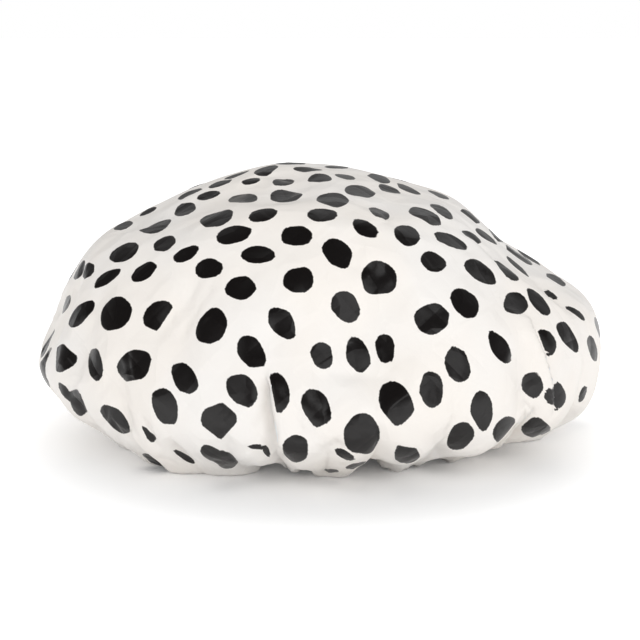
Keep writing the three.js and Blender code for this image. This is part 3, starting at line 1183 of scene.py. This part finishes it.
class Shader:
    """A material's node tree, built node by node."""

    def __init__(self, name: str = "", tree: bpy.types.NodeTree | None = None) -> None:
        """Starts an empty material of this name, or empties a given tree."""
        if tree is None:
            self.material = bpy.data.materials.new(name)
            self.material.use_nodes = True
            tree = self.material.node_tree
        self.tree = tree
        self.tree.nodes.clear()

    def node(
        self, kind: str, output: str = "", settings: dict | None = None, **values: Any
    ) -> Socket:
        """Adds a node.

        Args:
            kind: The node's type, without the ShaderNode in front.
            output: The name of the output that is wanted, or nothing for the first.
            settings: The node's own settings, set before its sockets.
            **values: Values or links for its sockets, with spaces written as underscores.

        Returns:
            The wanted output.
        """
        node = self.tree.nodes.new("ShaderNode" + kind)
        for key, value in (settings or {}).items():
            setattr(node, key, value)
        for key, value in values.items():
            name = key.replace("_", " ")
            entry = next(s for s in node.inputs if s.name == name and s.enabled)
            connect(self.tree, entry, value)
        found = node.outputs[output] if output else next(s for s in node.outputs if s.enabled)
        return Socket(self.tree, found)

    def attribute(self, name: str) -> Socket:
        """A number that is stored for each vertex."""
        return self.node("Attribute", "Fac", {"attribute_name": name})

    def place(self) -> Socket:
        """The place in the piece's own space."""
        return self.node("TexCoord", "Object")

    def ray(self, kind: str) -> Socket:
        """Whether what looks is a ray of this kind."""
        return self.node("LightPath", f"Is {kind} Ray")

    def noise(self, scale: float, detail: float = 2, roughness: float = 0.5) -> Socket:
        """Soft noise in the piece's own space, from 0 to 1."""
        return self.node(
            "TexNoise", "Fac", Vector=self.place(), Scale=scale, Detail=detail, Roughness=roughness,
        )

    def step(self, value: Socket, start: float, end: float) -> Socket:
        """Eases from 0 at start to 1 at end."""
        return self.node(
            "MapRange", "", {"interpolation_type": "SMOOTHSTEP"},
            Value=value, From_Min=start, From_Max=end,
        )

    def blend(self, share: Any, first: Any, second: Any) -> Socket:
        """A colour between two colours."""
        return self.node("Mix", "", {"data_type": "RGBA"}, Factor=share, A=first, B=second)

    def bump(self, height: Socket, distance: float, strength: float = 1) -> Socket:
        """A normal from a height in shares of a distance."""
        return self.node("Bump", Height=height, Distance=distance, Strength=strength)

    def end(self, kind: str, surface: Socket) -> None:
        """Ends the tree in an output node of this kind."""
        out = self.tree.nodes.new("ShaderNodeOutput" + kind)
        self.tree.links.new(surface.socket, out.inputs["Surface"])

    def finish(self, **values: Any) -> bpy.types.Material:
        """Ends the tree in a Principled shader with these sockets."""
        self.end("Material", self.node("BsdfPrincipled", **values))
        return self.material


def rgb(red: float, green: float, blue: float) -> tuple:
    """A colour with full cover."""
    return (red, green, blue, 1.0)


def shaded(colour: tuple, share: float) -> tuple:
    """A colour made darker or lighter by a share, with full cover."""
    return rgb(*(min(1.0, share * part) for part in colour[:3]))


@dataclass(frozen=True)
class PrintedCloth:
    """White coated cloth with black spots, and a film's soft gloss over both."""

    cloth: tuple = rgb(0.9, 0.872, 0.84)
    warm: tuple = rgb(0.9, 0.855, 0.805)
    ink: tuple = rgb(0.0065, 0.0048, 0.0046)
    print_edge: float = 0.22 * MM
    ragged_scale: float = 900
    ragged_depth: float = 0.6 * MM
    tint_scale: float = 16
    tint_shares: tuple = (0.35, 0.65)
    crinkle: float = 1.5 * MM  # the height that the others below are shares of
    crinkle_strength: float = 0.55
    weave_pitch: float = 0.55 * MM
    weave_height: float = 0.006
    broad_scale: float = 48
    fine_scale: float = 420
    fine_height: float = 0.035
    facet_scale: float = 46
    facet_height: float = 1.8
    facet_turn: tuple = (0.5, 0.7, 0.3)
    facet_bend: float = 0.012
    facet_bend_scale: float = 22
    roughness: float = 0.46
    ink_smoothness: float = 0.19
    fine_roughness: float = 0.06
    film_weight: float = 0.06
    film_roughness: float = 0.28
    specular: float = 0.4

    def turned(self, s: Shader) -> Socket:
        """Places turned off the axes and bent, so that the film's facets lie every way."""
        scale = self.facet_bend_scale
        warp = s.node("TexNoise", "Color", Vector=s.place(), Scale=scale, Detail=1)
        bend = s.node("VectorMath", "", {"operation": "SCALE"}, Vector=warp, Scale=self.facet_bend)
        return s.node("Mapping", Vector=s.place(), Location=bend, Rotation=self.facet_turn)

    def material(self) -> bpy.types.Material:
        """The finish as a material."""
        s = Shader("printed_cloth")
        ragged = (s.noise(self.ragged_scale) - 0.5) * self.ragged_depth
        screens = [s.attribute(f"ink_{k}") + ragged for k in range(PRINT_SCREENS)]
        steps = [s.step(depth, -self.print_edge, self.print_edge) for depth in screens]
        ink = sum(steps[1:], steps[0]).clamp()
        tint = s.step(s.noise(self.tint_scale), *self.tint_shares)
        ground = s.blend(tint, self.cloth, self.warm)
        colour = s.blend(ink, ground, self.ink)
        broad = s.noise(self.broad_scale, detail=3, roughness=0.55)
        fine = s.noise(self.fine_scale, detail=3, roughness=0.6)
        turns = FULL_TURN / self.weave_pitch
        weave = (s.attribute("flat_x") * turns).wave() * (s.attribute("flat_y") * turns).wave()
        facets = s.node(
            "TexVoronoi", "Distance", {"distance": "MANHATTAN"}, Vector=self.turned(s),
            Scale=self.facet_scale,
        )
        height = broad + facets * self.facet_height
        height = height + fine * self.fine_height + weave * self.weave_height
        return s.finish(
            Base_Color=colour,
            Roughness=self.roughness - ink * self.ink_smoothness + fine * self.fine_roughness,
            Normal=s.bump(height, self.crinkle, self.crinkle_strength),
            Coat_Weight=self.film_weight,
            Coat_Roughness=self.film_roughness,
            Specular_IOR_Level=self.specular,
        )


@dataclass(frozen=True)
class PlainCloth:
    """A plain woven strip."""

    name: str
    colour: tuple
    roughness: float = 0.6
    pitch: float = 0.5 * MM
    relief: float = 0.12 * MM
    dull_share: float = 0.93
    mottle_scale: float = 60
    mottle_roughness: float = 0.08

    def material(self) -> bpy.types.Material:
        """The finish as a material."""
        s = Shader(self.name)
        mottle = s.noise(self.mottle_scale, detail=3)
        return s.finish(
            Base_Color=s.blend(mottle, self.colour, shaded(self.colour, self.dull_share)),
            Roughness=self.roughness + mottle * self.mottle_roughness,
            Normal=s.bump(s.noise(1 / self.pitch), self.relief, strength=0.8),
        )


@dataclass(frozen=True)
class LiningFilm:
    """Thin milky film."""

    film: tuple = rgb(0.84, 0.86, 0.87)
    pale_share: float = 1.04
    cloud_scale: float = 30
    roughness: float = 0.3
    cloud_roughness: float = 0.08
    crumple_scale: float = 140
    crumple: float = 0.5 * MM

    def material(self) -> bpy.types.Material:
        """The finish as a material."""
        s = Shader("lining_film")
        cloudy = s.noise(self.cloud_scale, detail=3)
        crumples = s.noise(self.crumple_scale, detail=3)
        return s.finish(
            Base_Color=s.blend(cloudy, self.film, shaded(self.film, self.pale_share)),
            Roughness=self.roughness + cloudy * self.cloud_roughness,
            Normal=s.bump(crumples, self.crumple, strength=0.7),
        )


# The pieces


@dataclass
class OuterShell:
    """The printed outer cloth, gathered into the hem."""

    form: CapForm
    view: PhotoView
    buckling: Buckling
    cells: int = 220
    thickness: float = 0.3 * MM
    folds: tuple = (
        # The pleat at the front, and the dents on both sides of it
        Fold(
            FoldKind.LAP, ((266, 368), (270, 385), (275, 415), (279, 440), (283, 466)),
            7 * MM, 11 * MM, True, True,
        ),
        Fold(FoldKind.VALLEY, ((300, 376), (345, 372), (385, 378), (420, 405)), 3.4 * MM, 12 * MM),
        Fold(FoldKind.VALLEY, ((345, 326), (378, 346), (398, 372)), 1.6 * MM, 8 * MM),
        # The shoulder across the front
        Fold(
            FoldKind.RIDGE,
            ((250, 238), (300, 226), (350, 226), (400, 236), (450, 250), (520, 290)),
            1.6 * MM, 13 * MM,
        ),
        # Creases that run down from the crown on the left
        Fold(FoldKind.VALLEY, ((206, 258), (190, 290), (172, 318), (146, 350)), 3.4 * MM, 7 * MM),
        Fold(FoldKind.VALLEY, ((226, 270), (200, 300), (186, 326), (178, 350)), 2.6 * MM, 6 * MM),
        Fold(FoldKind.VALLEY, ((78, 262), (64, 292), (58, 318)), 2 * MM, 6 * MM),
        # Creases that run down from the crown on the right
        Fold(FoldKind.VALLEY, ((430, 193), (465, 212), (500, 238), (530, 263)), 2.2 * MM, 6 * MM),
        Fold(FoldKind.VALLEY, ((500, 236), (520, 262), (548, 292), (580, 322)), 2.6 * MM, 7 * MM),
        Fold(FoldKind.VALLEY, ((452, 222), (490, 252), (506, 286)), 2 * MM, 7 * MM),
        Fold(
            FoldKind.LAP,
            ((527, 310), (535.5, 332), (546, 358), (552.5, 384), (553.5, 402), (549, 425)),
            4 * MM, 10 * MM,
        ),
        Fold(FoldKind.LAP, ((542, 402), (522, 420.5), (501, 444.5)), 4.5 * MM, 9 * MM, True),
        # Puckers over the hem
        Fold(FoldKind.VALLEY, ((238, 450), (252, 453), (262, 461)), 1.4 * MM, 4 * MM),
        Fold(FoldKind.VALLEY, ((296, 404), (302, 428), (322, 440)), 2 * MM, 6 * MM),
        Fold(FoldKind.VALLEY, ((434, 425), (436, 440), (438, 456)), 2 * MM, 8 * MM, True),
        Fold(FoldKind.VALLEY, ((330, 440), (344, 452), (372, 462)), 3 * MM, 6 * MM),
        Fold(FoldKind.VALLEY, ((140, 415), (148, 432), (160, 452)), 3 * MM, 5 * MM),
        Fold(FoldKind.VALLEY, ((175, 440), (184, 456), (196, 468)), 3 * MM, 5 * MM),
        Fold(FoldKind.VALLEY, ((62, 385), (76, 404), (92, 424)), 3 * MM, 6 * MM),
    )

    def shaped(self) -> bpy.types.Object:
        """Builds the cloth over the form and folds it.

        Returns:
            The cloth, one layer thick.
        """
        piece = FlatCut(self.cells, self.form.meridian_length).make("outer_shell_cloth")
        azimuth, share = cloth_places(piece)
        set_points(piece.data, self.form.place(azimuth, share) + self.buckling.on_cut(self.cells))
        self.lines = FoldLine.trace(self.folds, Sighting(self.view, piece))
        press(piece, self.lines)
        return piece

    def make(self) -> bpy.types.Object:
        """Builds, prints and finishes the shell."""
        piece = self.shaped()
        SpotPrint(self.view).lay(piece, Sighting(self.view, piece))
        dress(piece, PrintedCloth().material(), self.thickness)
        return piece

    def declare(self, piece: bpy.types.Object, trim: list) -> None:
        """Lets the shell stand for its frame part and ride with the cap.

        Args:
            piece: The finished shell.
            trim: The pieces that are sewn to it; not used.
        """
        settle(piece, "outer_shell")


@dataclass
class InnerLining:
    """The waterproof film under the cloth, gathered into the same hem."""

    form: CapForm
    buckling: Buckling
    cells: int = 190
    thickness: float = 0.12 * MM
    slack: float = 1.9 * MM  # between the cloth's outer face and the film
    hem_slack: float = 0.8 * MM
    hem_shares: tuple = (0.9, 0.98)  # where the slack narrows to the hem's

    def make(self, lines: Sequence[FoldLine]) -> bpy.types.Object:
        """Builds the film and finishes it.

        Args:
            lines: The cloth's folds, which the film takes part in.

        Returns:
            The film.
        """
        piece = FlatCut(self.cells, self.form.meridian_length).make("inner_lining_film")
        azimuth, share = cloth_places(piece)
        near_hem = smoothstep(share, *self.hem_shares)
        inset = self.slack + (self.hem_slack - self.slack) * near_hem
        points = self.form.place(azimuth, share, inset) + self.buckling.on_cut(self.cells)
        set_points(piece.data, points)
        press(piece, lines)
        dress(piece, LiningFilm().material(), self.thickness)
        return piece

    def declare(self, piece: bpy.types.Object) -> None:
        """Lets the film stand for its frame part and ride with the cap."""
        settle(piece, "inner_lining")


@dataclass
class HemChannel:
    """The cross-section that the folded hem leaves for the cloth's edge and the elastic."""

    form: CapForm
    stack_depth: float = 0.7 * MM  # of the middle of cloth and film under the outer face
    overlap: float = 5 * MM
    length: float = 7.2 * MM
    half_height: float = 1.4 * MM
    stitch_reach: float = -1.6 * MM
    stitch_height_share: float = 0.86  # of the half height, where the stitches pull it together
    pleated: float = 0.5  # the share of the cloth's fine pleats that the hem follows
    step_share: float = 0.01  # back from the edge, where the hem's face is taken

    def place(self, azimuth: Array, reach: Array, rise: Array) -> Array:
        """Points in the hem.

        Args:
            azimuth: Where, round from the front.
            reach: How far past the cloth's cut edge, towards the mouth's middle.
            rise: How far above the middle of the layers.

        Returns:
            The points.
        """
        edge = np.ones_like(azimuth)
        start = edge - self.overlap / self.form.meridian_length
        outer = self.form.place(azimuth, edge, self.stack_depth, self.pleated)
        back = self.form.place(azimuth, start, self.stack_depth, self.pleated)
        inwards = unit(outer - back)
        across = self.form.outward(azimuth, edge - self.step_share)
        return outer + inwards * reach[..., None] - across * rise[..., None]


@dataclass
class Strip:
    """A long strip, meshed from a grid and wrapped round the mouth."""

    around: int
    across: int

    def make(self, name: str) -> tuple[bpy.types.Object, Array, Array]:
        """Adds the strip's grid.

        Args:
            name: The piece's name.

        Returns:
            The piece, and for each vertex its shares round the mouth and across the strip.
        """
        piece = add_grid(name, self.around, self.across)
        grid = (points_of(piece.data) + 1) / 2
        return piece, grid[:, 0], grid[:, 1]


def close_ring(piece: bpy.types.Object) -> None:
    """Joins the two ends of a strip that meet and turns its faces outwards."""
    select_only(piece)
    bpy.ops.object.mode_set(mode="EDIT")
    bpy.ops.mesh.select_all(action="SELECT")
    bpy.ops.mesh.remove_doubles(threshold=0.01 * MM)
    bpy.ops.mesh.normals_make_consistent(inside=False)
    bpy.ops.object.mode_set(mode="OBJECT")


@dataclass
class HemBinding:
    """A strip of cloth folded over the cut edges, ruched by the elastic that runs in it."""

    channel: HemChannel
    around: int = 840
    across: int = 30
    thickness: float = 0.3 * MM
    turned_edge: float = 2.4 * MM
    casing_bulge: float = 0.7 * MM
    ruffle: float = 0.5 * MM
    cloth: PlainCloth = PlainCloth("binding_cloth", rgb(0.84, 0.83, 0.815), 0.52)
    edge_depth: float = 0.45 * MM  # of the turned edges inside the strip's faces
    bend_reaches: tuple = (0.4 * MM, -0.1 * MM, 0.3 * MM)  # of their bends past the overlap
    bend_rise: float = 0.2 * MM  # of the middle bend
    full_reach: float = 0.8 * MM  # where the strip is back at its height behind the stitches
    fold_points: int = 5
    fold_inset: float = 0.6 * MM
    loose_reach: float = 2.5 * MM  # from here on the ruffles have their full height
    sewn_share: float = 0.22  # of that height, at the stitches
    waves: tuple = ((103, 0.65), (66, 0.5))  # of the ruffles: how many round the mouth, and size
    drifts: tuple = ((5, 0.9), (9, 1.1))  # of the waves' places, the same
    drift_phase: float = 1.3
    drift_swap: float = -1.4  # how far the second waves drift against the first
    slants: tuple = (260, 3 / MM)  # of the waves, in radians by reach and by rise
    free_share: float = 0.55  # of the channel's length, from where the ruffles also go sideways

    def _section(self) -> Array:
        """Draws the strip's cross-section.

        Returns:
            Reach and rise along it, from one turned edge to the other.
        """
        c = self.channel
        under = c.half_height - self.edge_depth
        start = -c.overlap
        near, edge, far = (start + reach for reach in self.bend_reaches)
        lower = [(start + self.turned_edge, -under), (near, -under)]
        lower += [(edge, -under - self.bend_rise), (far, -c.half_height)]
        lower += [(c.stitch_reach, -c.half_height * c.stitch_height_share)]
        lower += [(self.full_reach, -c.half_height)]
        lower += [(c.length / 2, -c.half_height - self.casing_bulge)]
        turns = np.linspace(-math.pi / 2, math.pi / 2, self.fold_points + 2)[1:-1]
        wide = c.half_height + self.casing_bulge / 2
        end = c.length - self.fold_inset
        fold = [(end + wide * math.cos(turn), wide * math.sin(turn)) for turn in turns]
        upper = [(reach, -rise) for reach, rise in reversed(lower)]
        return np.array(lower + fold + upper)

    def _ruffled(self, turn: Array, reach: Array, rise: Array) -> Array:
        """How far ruffles swell the strip.

        Args:
            turn: Where, round from the front.
            reach: Where, past the cloth's cut edge.
            rise: Where, above the middle of the layers.

        Returns:
            Factors for the rise, near 1.
        """
        (first, first_size), (second, second_size) = self.waves
        (slow, slow_size), (fast, fast_size) = self.drifts
        by_reach, by_rise = self.slants
        drift = slow_size * np.sin(slow * turn) + fast_size * np.sin(fast * turn + self.drift_phase)
        wave = np.sin(first * turn + drift + by_reach * reach) * first_size
        wave += np.sin(second * turn + self.drift_swap * drift + by_rise * rise) * second_size
        loose = smoothstep(reach, self.channel.stitch_reach, self.loose_reach)
        size = self.sewn_share + (1 - self.sewn_share) * loose
        return 1 + size * self.ruffle * wave / self.channel.half_height

    def make(self) -> bpy.types.Object:
        """Builds and finishes the binding."""
        piece, around, across = Strip(self.around, self.across).make("hem_binding_strip")
        line = catmull_rom(self._section()[None], CURVE_STEPS)[0]
        run = np.r_[0, np.cumsum(np.linalg.norm(np.diff(line, axis=0), axis=1))]
        reach = np.interp(across * run[-1], run, line[:, 0])
        rise = np.interp(across * run[-1], run, line[:, 1])
        turn = around * FULL_TURN
        swell = self._ruffled(turn, reach, rise)
        middle = self.channel.length * self.free_share
        reach = np.where(reach > middle, middle + (reach - middle) * swell, reach)
        set_points(piece.data, self.channel.place(turn, reach, rise * swell))
        close_ring(piece)
        dress(piece, self.cloth.material(), self.thickness)
        return piece


@dataclass
class ElasticBand:
    """A flat ribbed elastic, sewn into a loop with its ends lapped at the back."""

    channel: HemChannel
    around: int = 520
    across: int = 20
    width: float = 6 * MM
    thickness: float = 0.9 * MM
    ribs: int = 5
    rib_height: float = 0.1 * MM
    lap: float = 12 * MM
    lap_rise_share: float = 0.52  # of the thickness, by which each lapped end moves off the middle
    lap_ease_share: float = 0.4  # of the lap, over which it does so
    edge_gap: float = 0.4 * MM  # between the cloth's cut edge and the elastic
    cloth: PlainCloth = PlainCloth("knit_elastic", rgb(0.78, 0.76, 0.72), 0.8)

    def make(self) -> bpy.types.Object:
        """Builds and finishes the elastic."""
        piece, around, across = Strip(self.around, self.across).make("elastic_band_loop")
        radius = self.channel.form.mouth_radius
        extra = self.lap / 2 / radius
        turn = math.pi - extra + around * (FULL_TURN + 2 * extra)
        ways = np.stack([around, 1 - around]) * math.pi * radius
        first, last = np.maximum(1 - ways / self.lap, 0)
        lapped = first - last
        ease = self.lap_ease_share
        rise = smoothstep(lapped, 0, ease) - smoothstep(-lapped, 0, ease)
        rise = rise * self.lap_rise_share * self.thickness
        rise = rise + self.rib_height * np.cos(FULL_TURN * self.ribs * across)
        reach = self.edge_gap + across * self.width
        set_points(piece.data, self.channel.place(turn, reach, rise))
        dress(piece, self.cloth.material(), self.thickness, 0)
        return piece


@dataclass
class HemStitching:
    """Two rows of lock stitches that hold the binding, one on each face of the hem."""

    channel: HemChannel
    count: int = 132
    length: float = 2.7 * MM
    girth: float = 0.42 * MM
    arch: float = 0.2625  # how far its middle rises over its ends, in girths
    sink: float = 0.09  # of all of it, in girths
    lift: float = 0.1 * MM  # of the rows over the strip's face
    stagger_share: float = 0.25  # of a stitch, by which each row is shifted
    turn_step: float = 0.01  # on round the mouth, for the direction of a stitch
    face_share: float = 0.985  # where the cloth's face gives the direction of its height
    thread: PlainCloth = PlainCloth("sewing_thread", rgb(0.86, 0.85, 0.83), 0.5)

    def _stitch(self) -> bpy.types.Object:
        """Makes one stitch, a short thread that dips into the cloth at both ends.

        Returns:
            The stitch, with its length along x and its top towards z.
        """
        bpy.ops.object.select_all(action="DESELECT")
        bpy.ops.mesh.primitive_uv_sphere_add(segments=8, ring_count=7, radius=0.5)
        piece = bpy.context.object
        ball = points_of(piece.data)
        arch = (1 - (2 * ball[:, 2]) ** 2) * self.arch - self.sink
        shape = np.c_[ball[:, 2] * self.length, ball[:, 0] * self.girth, ball[:, 1] * self.girth]
        shape[:, 2] += arch * self.girth
        set_points(piece.data, shape)
        return piece

    def _row(self, side: int) -> tuple[Array, Array]:
        """Places one row of stitches.

        Args:
            side: 1 for the row on the upper face and -1 for the other.

        Returns:
            The stitches' places, and for each its length, breadth and height directions.
        """
        channel = self.channel
        turn = (np.arange(self.count) + self.stagger_share * side) * FULL_TURN / self.count
        reach = np.full(self.count, channel.stitch_reach)
        height = channel.half_height * channel.stitch_height_share + self.lift
        rise = np.full(self.count, side * height)
        places = channel.place(turn, reach, rise)
        along = unit(channel.place(turn + self.turn_step, reach, rise) - places)
        up = -side * channel.form.outward(turn, np.full(self.count, self.face_share))
        aside = unit(np.cross(up, along))
        return places, np.stack([along, aside, np.cross(along, aside)], 1)

    def make(self) -> bpy.types.Object:
        """Copies the stitch along both rows and joins the copies."""
        first = self._stitch()
        shape = points_of(first.data)
        copies = []
        for place, axes in [pair for side in (-1, 1) for pair in zip(*self._row(side))]:
            stitch = first.copy()
            stitch.data = first.data.copy()
            bpy.context.collection.objects.link(stitch)
            set_points(stitch.data, place + shape @ axes)
            copies.append(stitch)
        bpy.data.objects.remove(first)
        bpy.ops.object.select_all(action="DESELECT")
        for stitch in copies:
            stitch.select_set(True)
        bpy.context.view_layer.objects.active = copies[0]
        bpy.ops.object.join()
        piece = bpy.context.object
        piece.name = piece.data.name = "hem_stitching"
        dress(piece, self.thread.material())
        return piece


def settle(piece: bpy.types.Object, node: str | None) -> None:
    """Lets a piece stand for a frame part and ride with the cap.

    Args:
        piece: The piece.
        node: The frame part's node, or None for a piece that the frame hasn't got.
    """
    if node:
        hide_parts(node)
    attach(piece, "root")
    log.info("%s: %d faces", piece.name, len(piece.data.polygons))


def dress(
    piece: bpy.types.Object, finish: bpy.types.Material, wall: float = 0, offset: float = -1
) -> None:
    """Gives a piece its wall, its smooth shading and its finish.

    Args:
        piece: The piece.
        finish: Its material.
        wall: The thickness that a sheet gets, or 0 for a piece that has its own.
        offset: -1 for a wall inwards of the sheet, 0 for one to both sides.
    """
    if wall:
        modifier = piece.modifiers.new("wall", "SOLIDIFY")
        modifier.thickness = wall
        modifier.offset = offset
        apply_modifier(piece, modifier.name)
    select_only(piece)
    bpy.ops.object.shade_smooth()
    piece.data.materials.append(finish)


# The studio


@dataclass
class Studio:
    """A white table top under soft light, with the studio dim behind the camera."""

    side: float = 6.0
    world_light: float = 0.92
    world_tilt: float = 0.55  # how much brighter the horizon is than the zenith
    dim_light: float = 0.04
    back_light: float = 0.46
    key_power: float = 3.9
    fill_power: float = 1.6
    lamp_side: float = 0.9
    floor_white: float = 0.97
    near_lift: float = 0.05
    far_lift: float = 0.45
    lift_centre: float = -0.05  # in front of the cap's middle
    lift_start: float = 0.1
    lift_end: float = 0.19
    key_place: tuple = (0.8, -1.25, 0.55)
    fill_place: tuple = (-0.95, -1.15, 0.4)
    aim: tuple = (0, 0, 0.06)
    back_from: tuple = (-0.15, 0.7)  # where along +Y the gloss turns from dim to white
    right_from: tuple = (-0.95, 0.25)  # the same along +X

    def make(self) -> None:
        """Adds the floor, the world and the lamps."""
        self._world()
        self._floor()
        self._lamp("key_light", Vector(self.key_place), self.key_power)
        self._lamp("fill_light", Vector(self.fill_place), self.fill_power)

    def _world(self) -> None:
        """A pale world that the camera sees as white, and that gloss sees as white at the back."""
        world = bpy.data.worlds.new("studio_world")
        bpy.context.scene.world = world
        world.use_nodes = True
        s = Shader(tree=world.node_tree)
        way = s.node("TexCoord", "Generated")
        x, y, z = (s.node("SeparateXYZ", axis, Vector=way) for axis in "XYZ")
        white = s.step(y, *self.back_from) * s.step(x, *self.right_from)
        gloss = white * (self.back_light - self.dim_light) + self.dim_light
        shown = (s.ray("Camera") + s.ray("Transmission")).clamp()
        soft = self.world_light * (1 + self.world_tilt * (0.5 - z))
        plain = soft + s.ray("Glossy") * (gloss - soft)
        strength = shown + (1 - shown) * plain
        s.end("World", s.node("Background", Color=rgb(1, 1, 1), Strength=strength))

    def _floor(self) -> None:
        """A white floor that keeps the cap's shadow and is clear from below."""
        bpy.ops.mesh.primitive_plane_add(size=self.side)
        floor = bpy.context.object
        floor.name = "table_top"
        s = Shader("table_top")
        place = s.node("Mapping", Vector=s.place(), Location=(0, -self.lift_centre, 0))
        away = s.node("VectorMath", "Value", {"operation": "LENGTH"}, Vector=place)
        lift = self.near_lift + s.step(away, self.lift_start, self.lift_end) * self.far_lift
        looks = (s.ray("Camera") + s.ray("Glossy") + s.ray("Transmission")).clamp()
        top = s.node(
            "BsdfPrincipled", Base_Color=rgb(*[self.floor_white] * 3), Roughness=1.0,
            Specular_IOR_Level=0.0, Emission_Color=rgb(1, 1, 1), Emission_Strength=looks * lift,
        )
        mixed = s.node("MixShader", Fac=s.node("NewGeometry", "Backfacing"))
        for entry, shader in zip(mixed.socket.node.inputs[1:], (top, s.node("BsdfTransparent"))):
            connect(s.tree, entry, shader)
        s.end("Material", mixed)
        floor.data.materials.append(s.material)

    def _lamp(self, name: str, place: Vector, power: float) -> None:
        """Adds a square soft lamp that is aimed at the cap.

        Args:
            name: Its name.
            place: Where it stands.
            power: How strong it is, in watts.
        """
        bpy.ops.object.light_add(type="AREA", location=place)
        lamp = bpy.context.object
        lamp.name = name
        lamp.data.energy = power
        lamp.data.size = self.lamp_side
        lamp.rotation_euler = (Vector(self.aim) - place).to_track_quat("-Z", "Y").to_euler()


def main() -> None:
    """Builds the cap around the frame and lights it."""
    logging.basicConfig(level=logging.INFO, format="%(name)s: %(message)s")
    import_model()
    bpy.context.scene.view_settings.view_transform = "Standard"
    view = PhotoView()
    view.make_camera()
    Studio().make()

    shell_low, shell_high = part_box("outer_shell")
    band_low, band_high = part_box("elastic_band")
    form = CapForm(
        half_width=(shell_high.x - shell_low.x) / 2,
        half_depth=(shell_high.y - shell_low.y) / 2,
        height=shell_high.z,
        mouth_radius=(band_high.x - band_low.x) / 2,
        mouth_height=band_low.z,
    )
    channel = HemChannel(form)
    buckling = Buckling(form)
    shell = OuterShell(form, view, buckling)
    lining = InnerLining(form, buckling)
    cloth = shell.make()
    film = lining.make(shell.lines)
    binding = HemBinding(channel).make()
    elastic = ElasticBand(channel).make()
    stitching = HemStitching(channel).make()
    settle(binding, "hem_binding")
    settle(elastic, "elastic_band")
    settle(stitching, None)
    lining.declare(film)
    shell.declare(cloth, [binding, elastic, stitching])


if __name__ == "__main__":
    main()
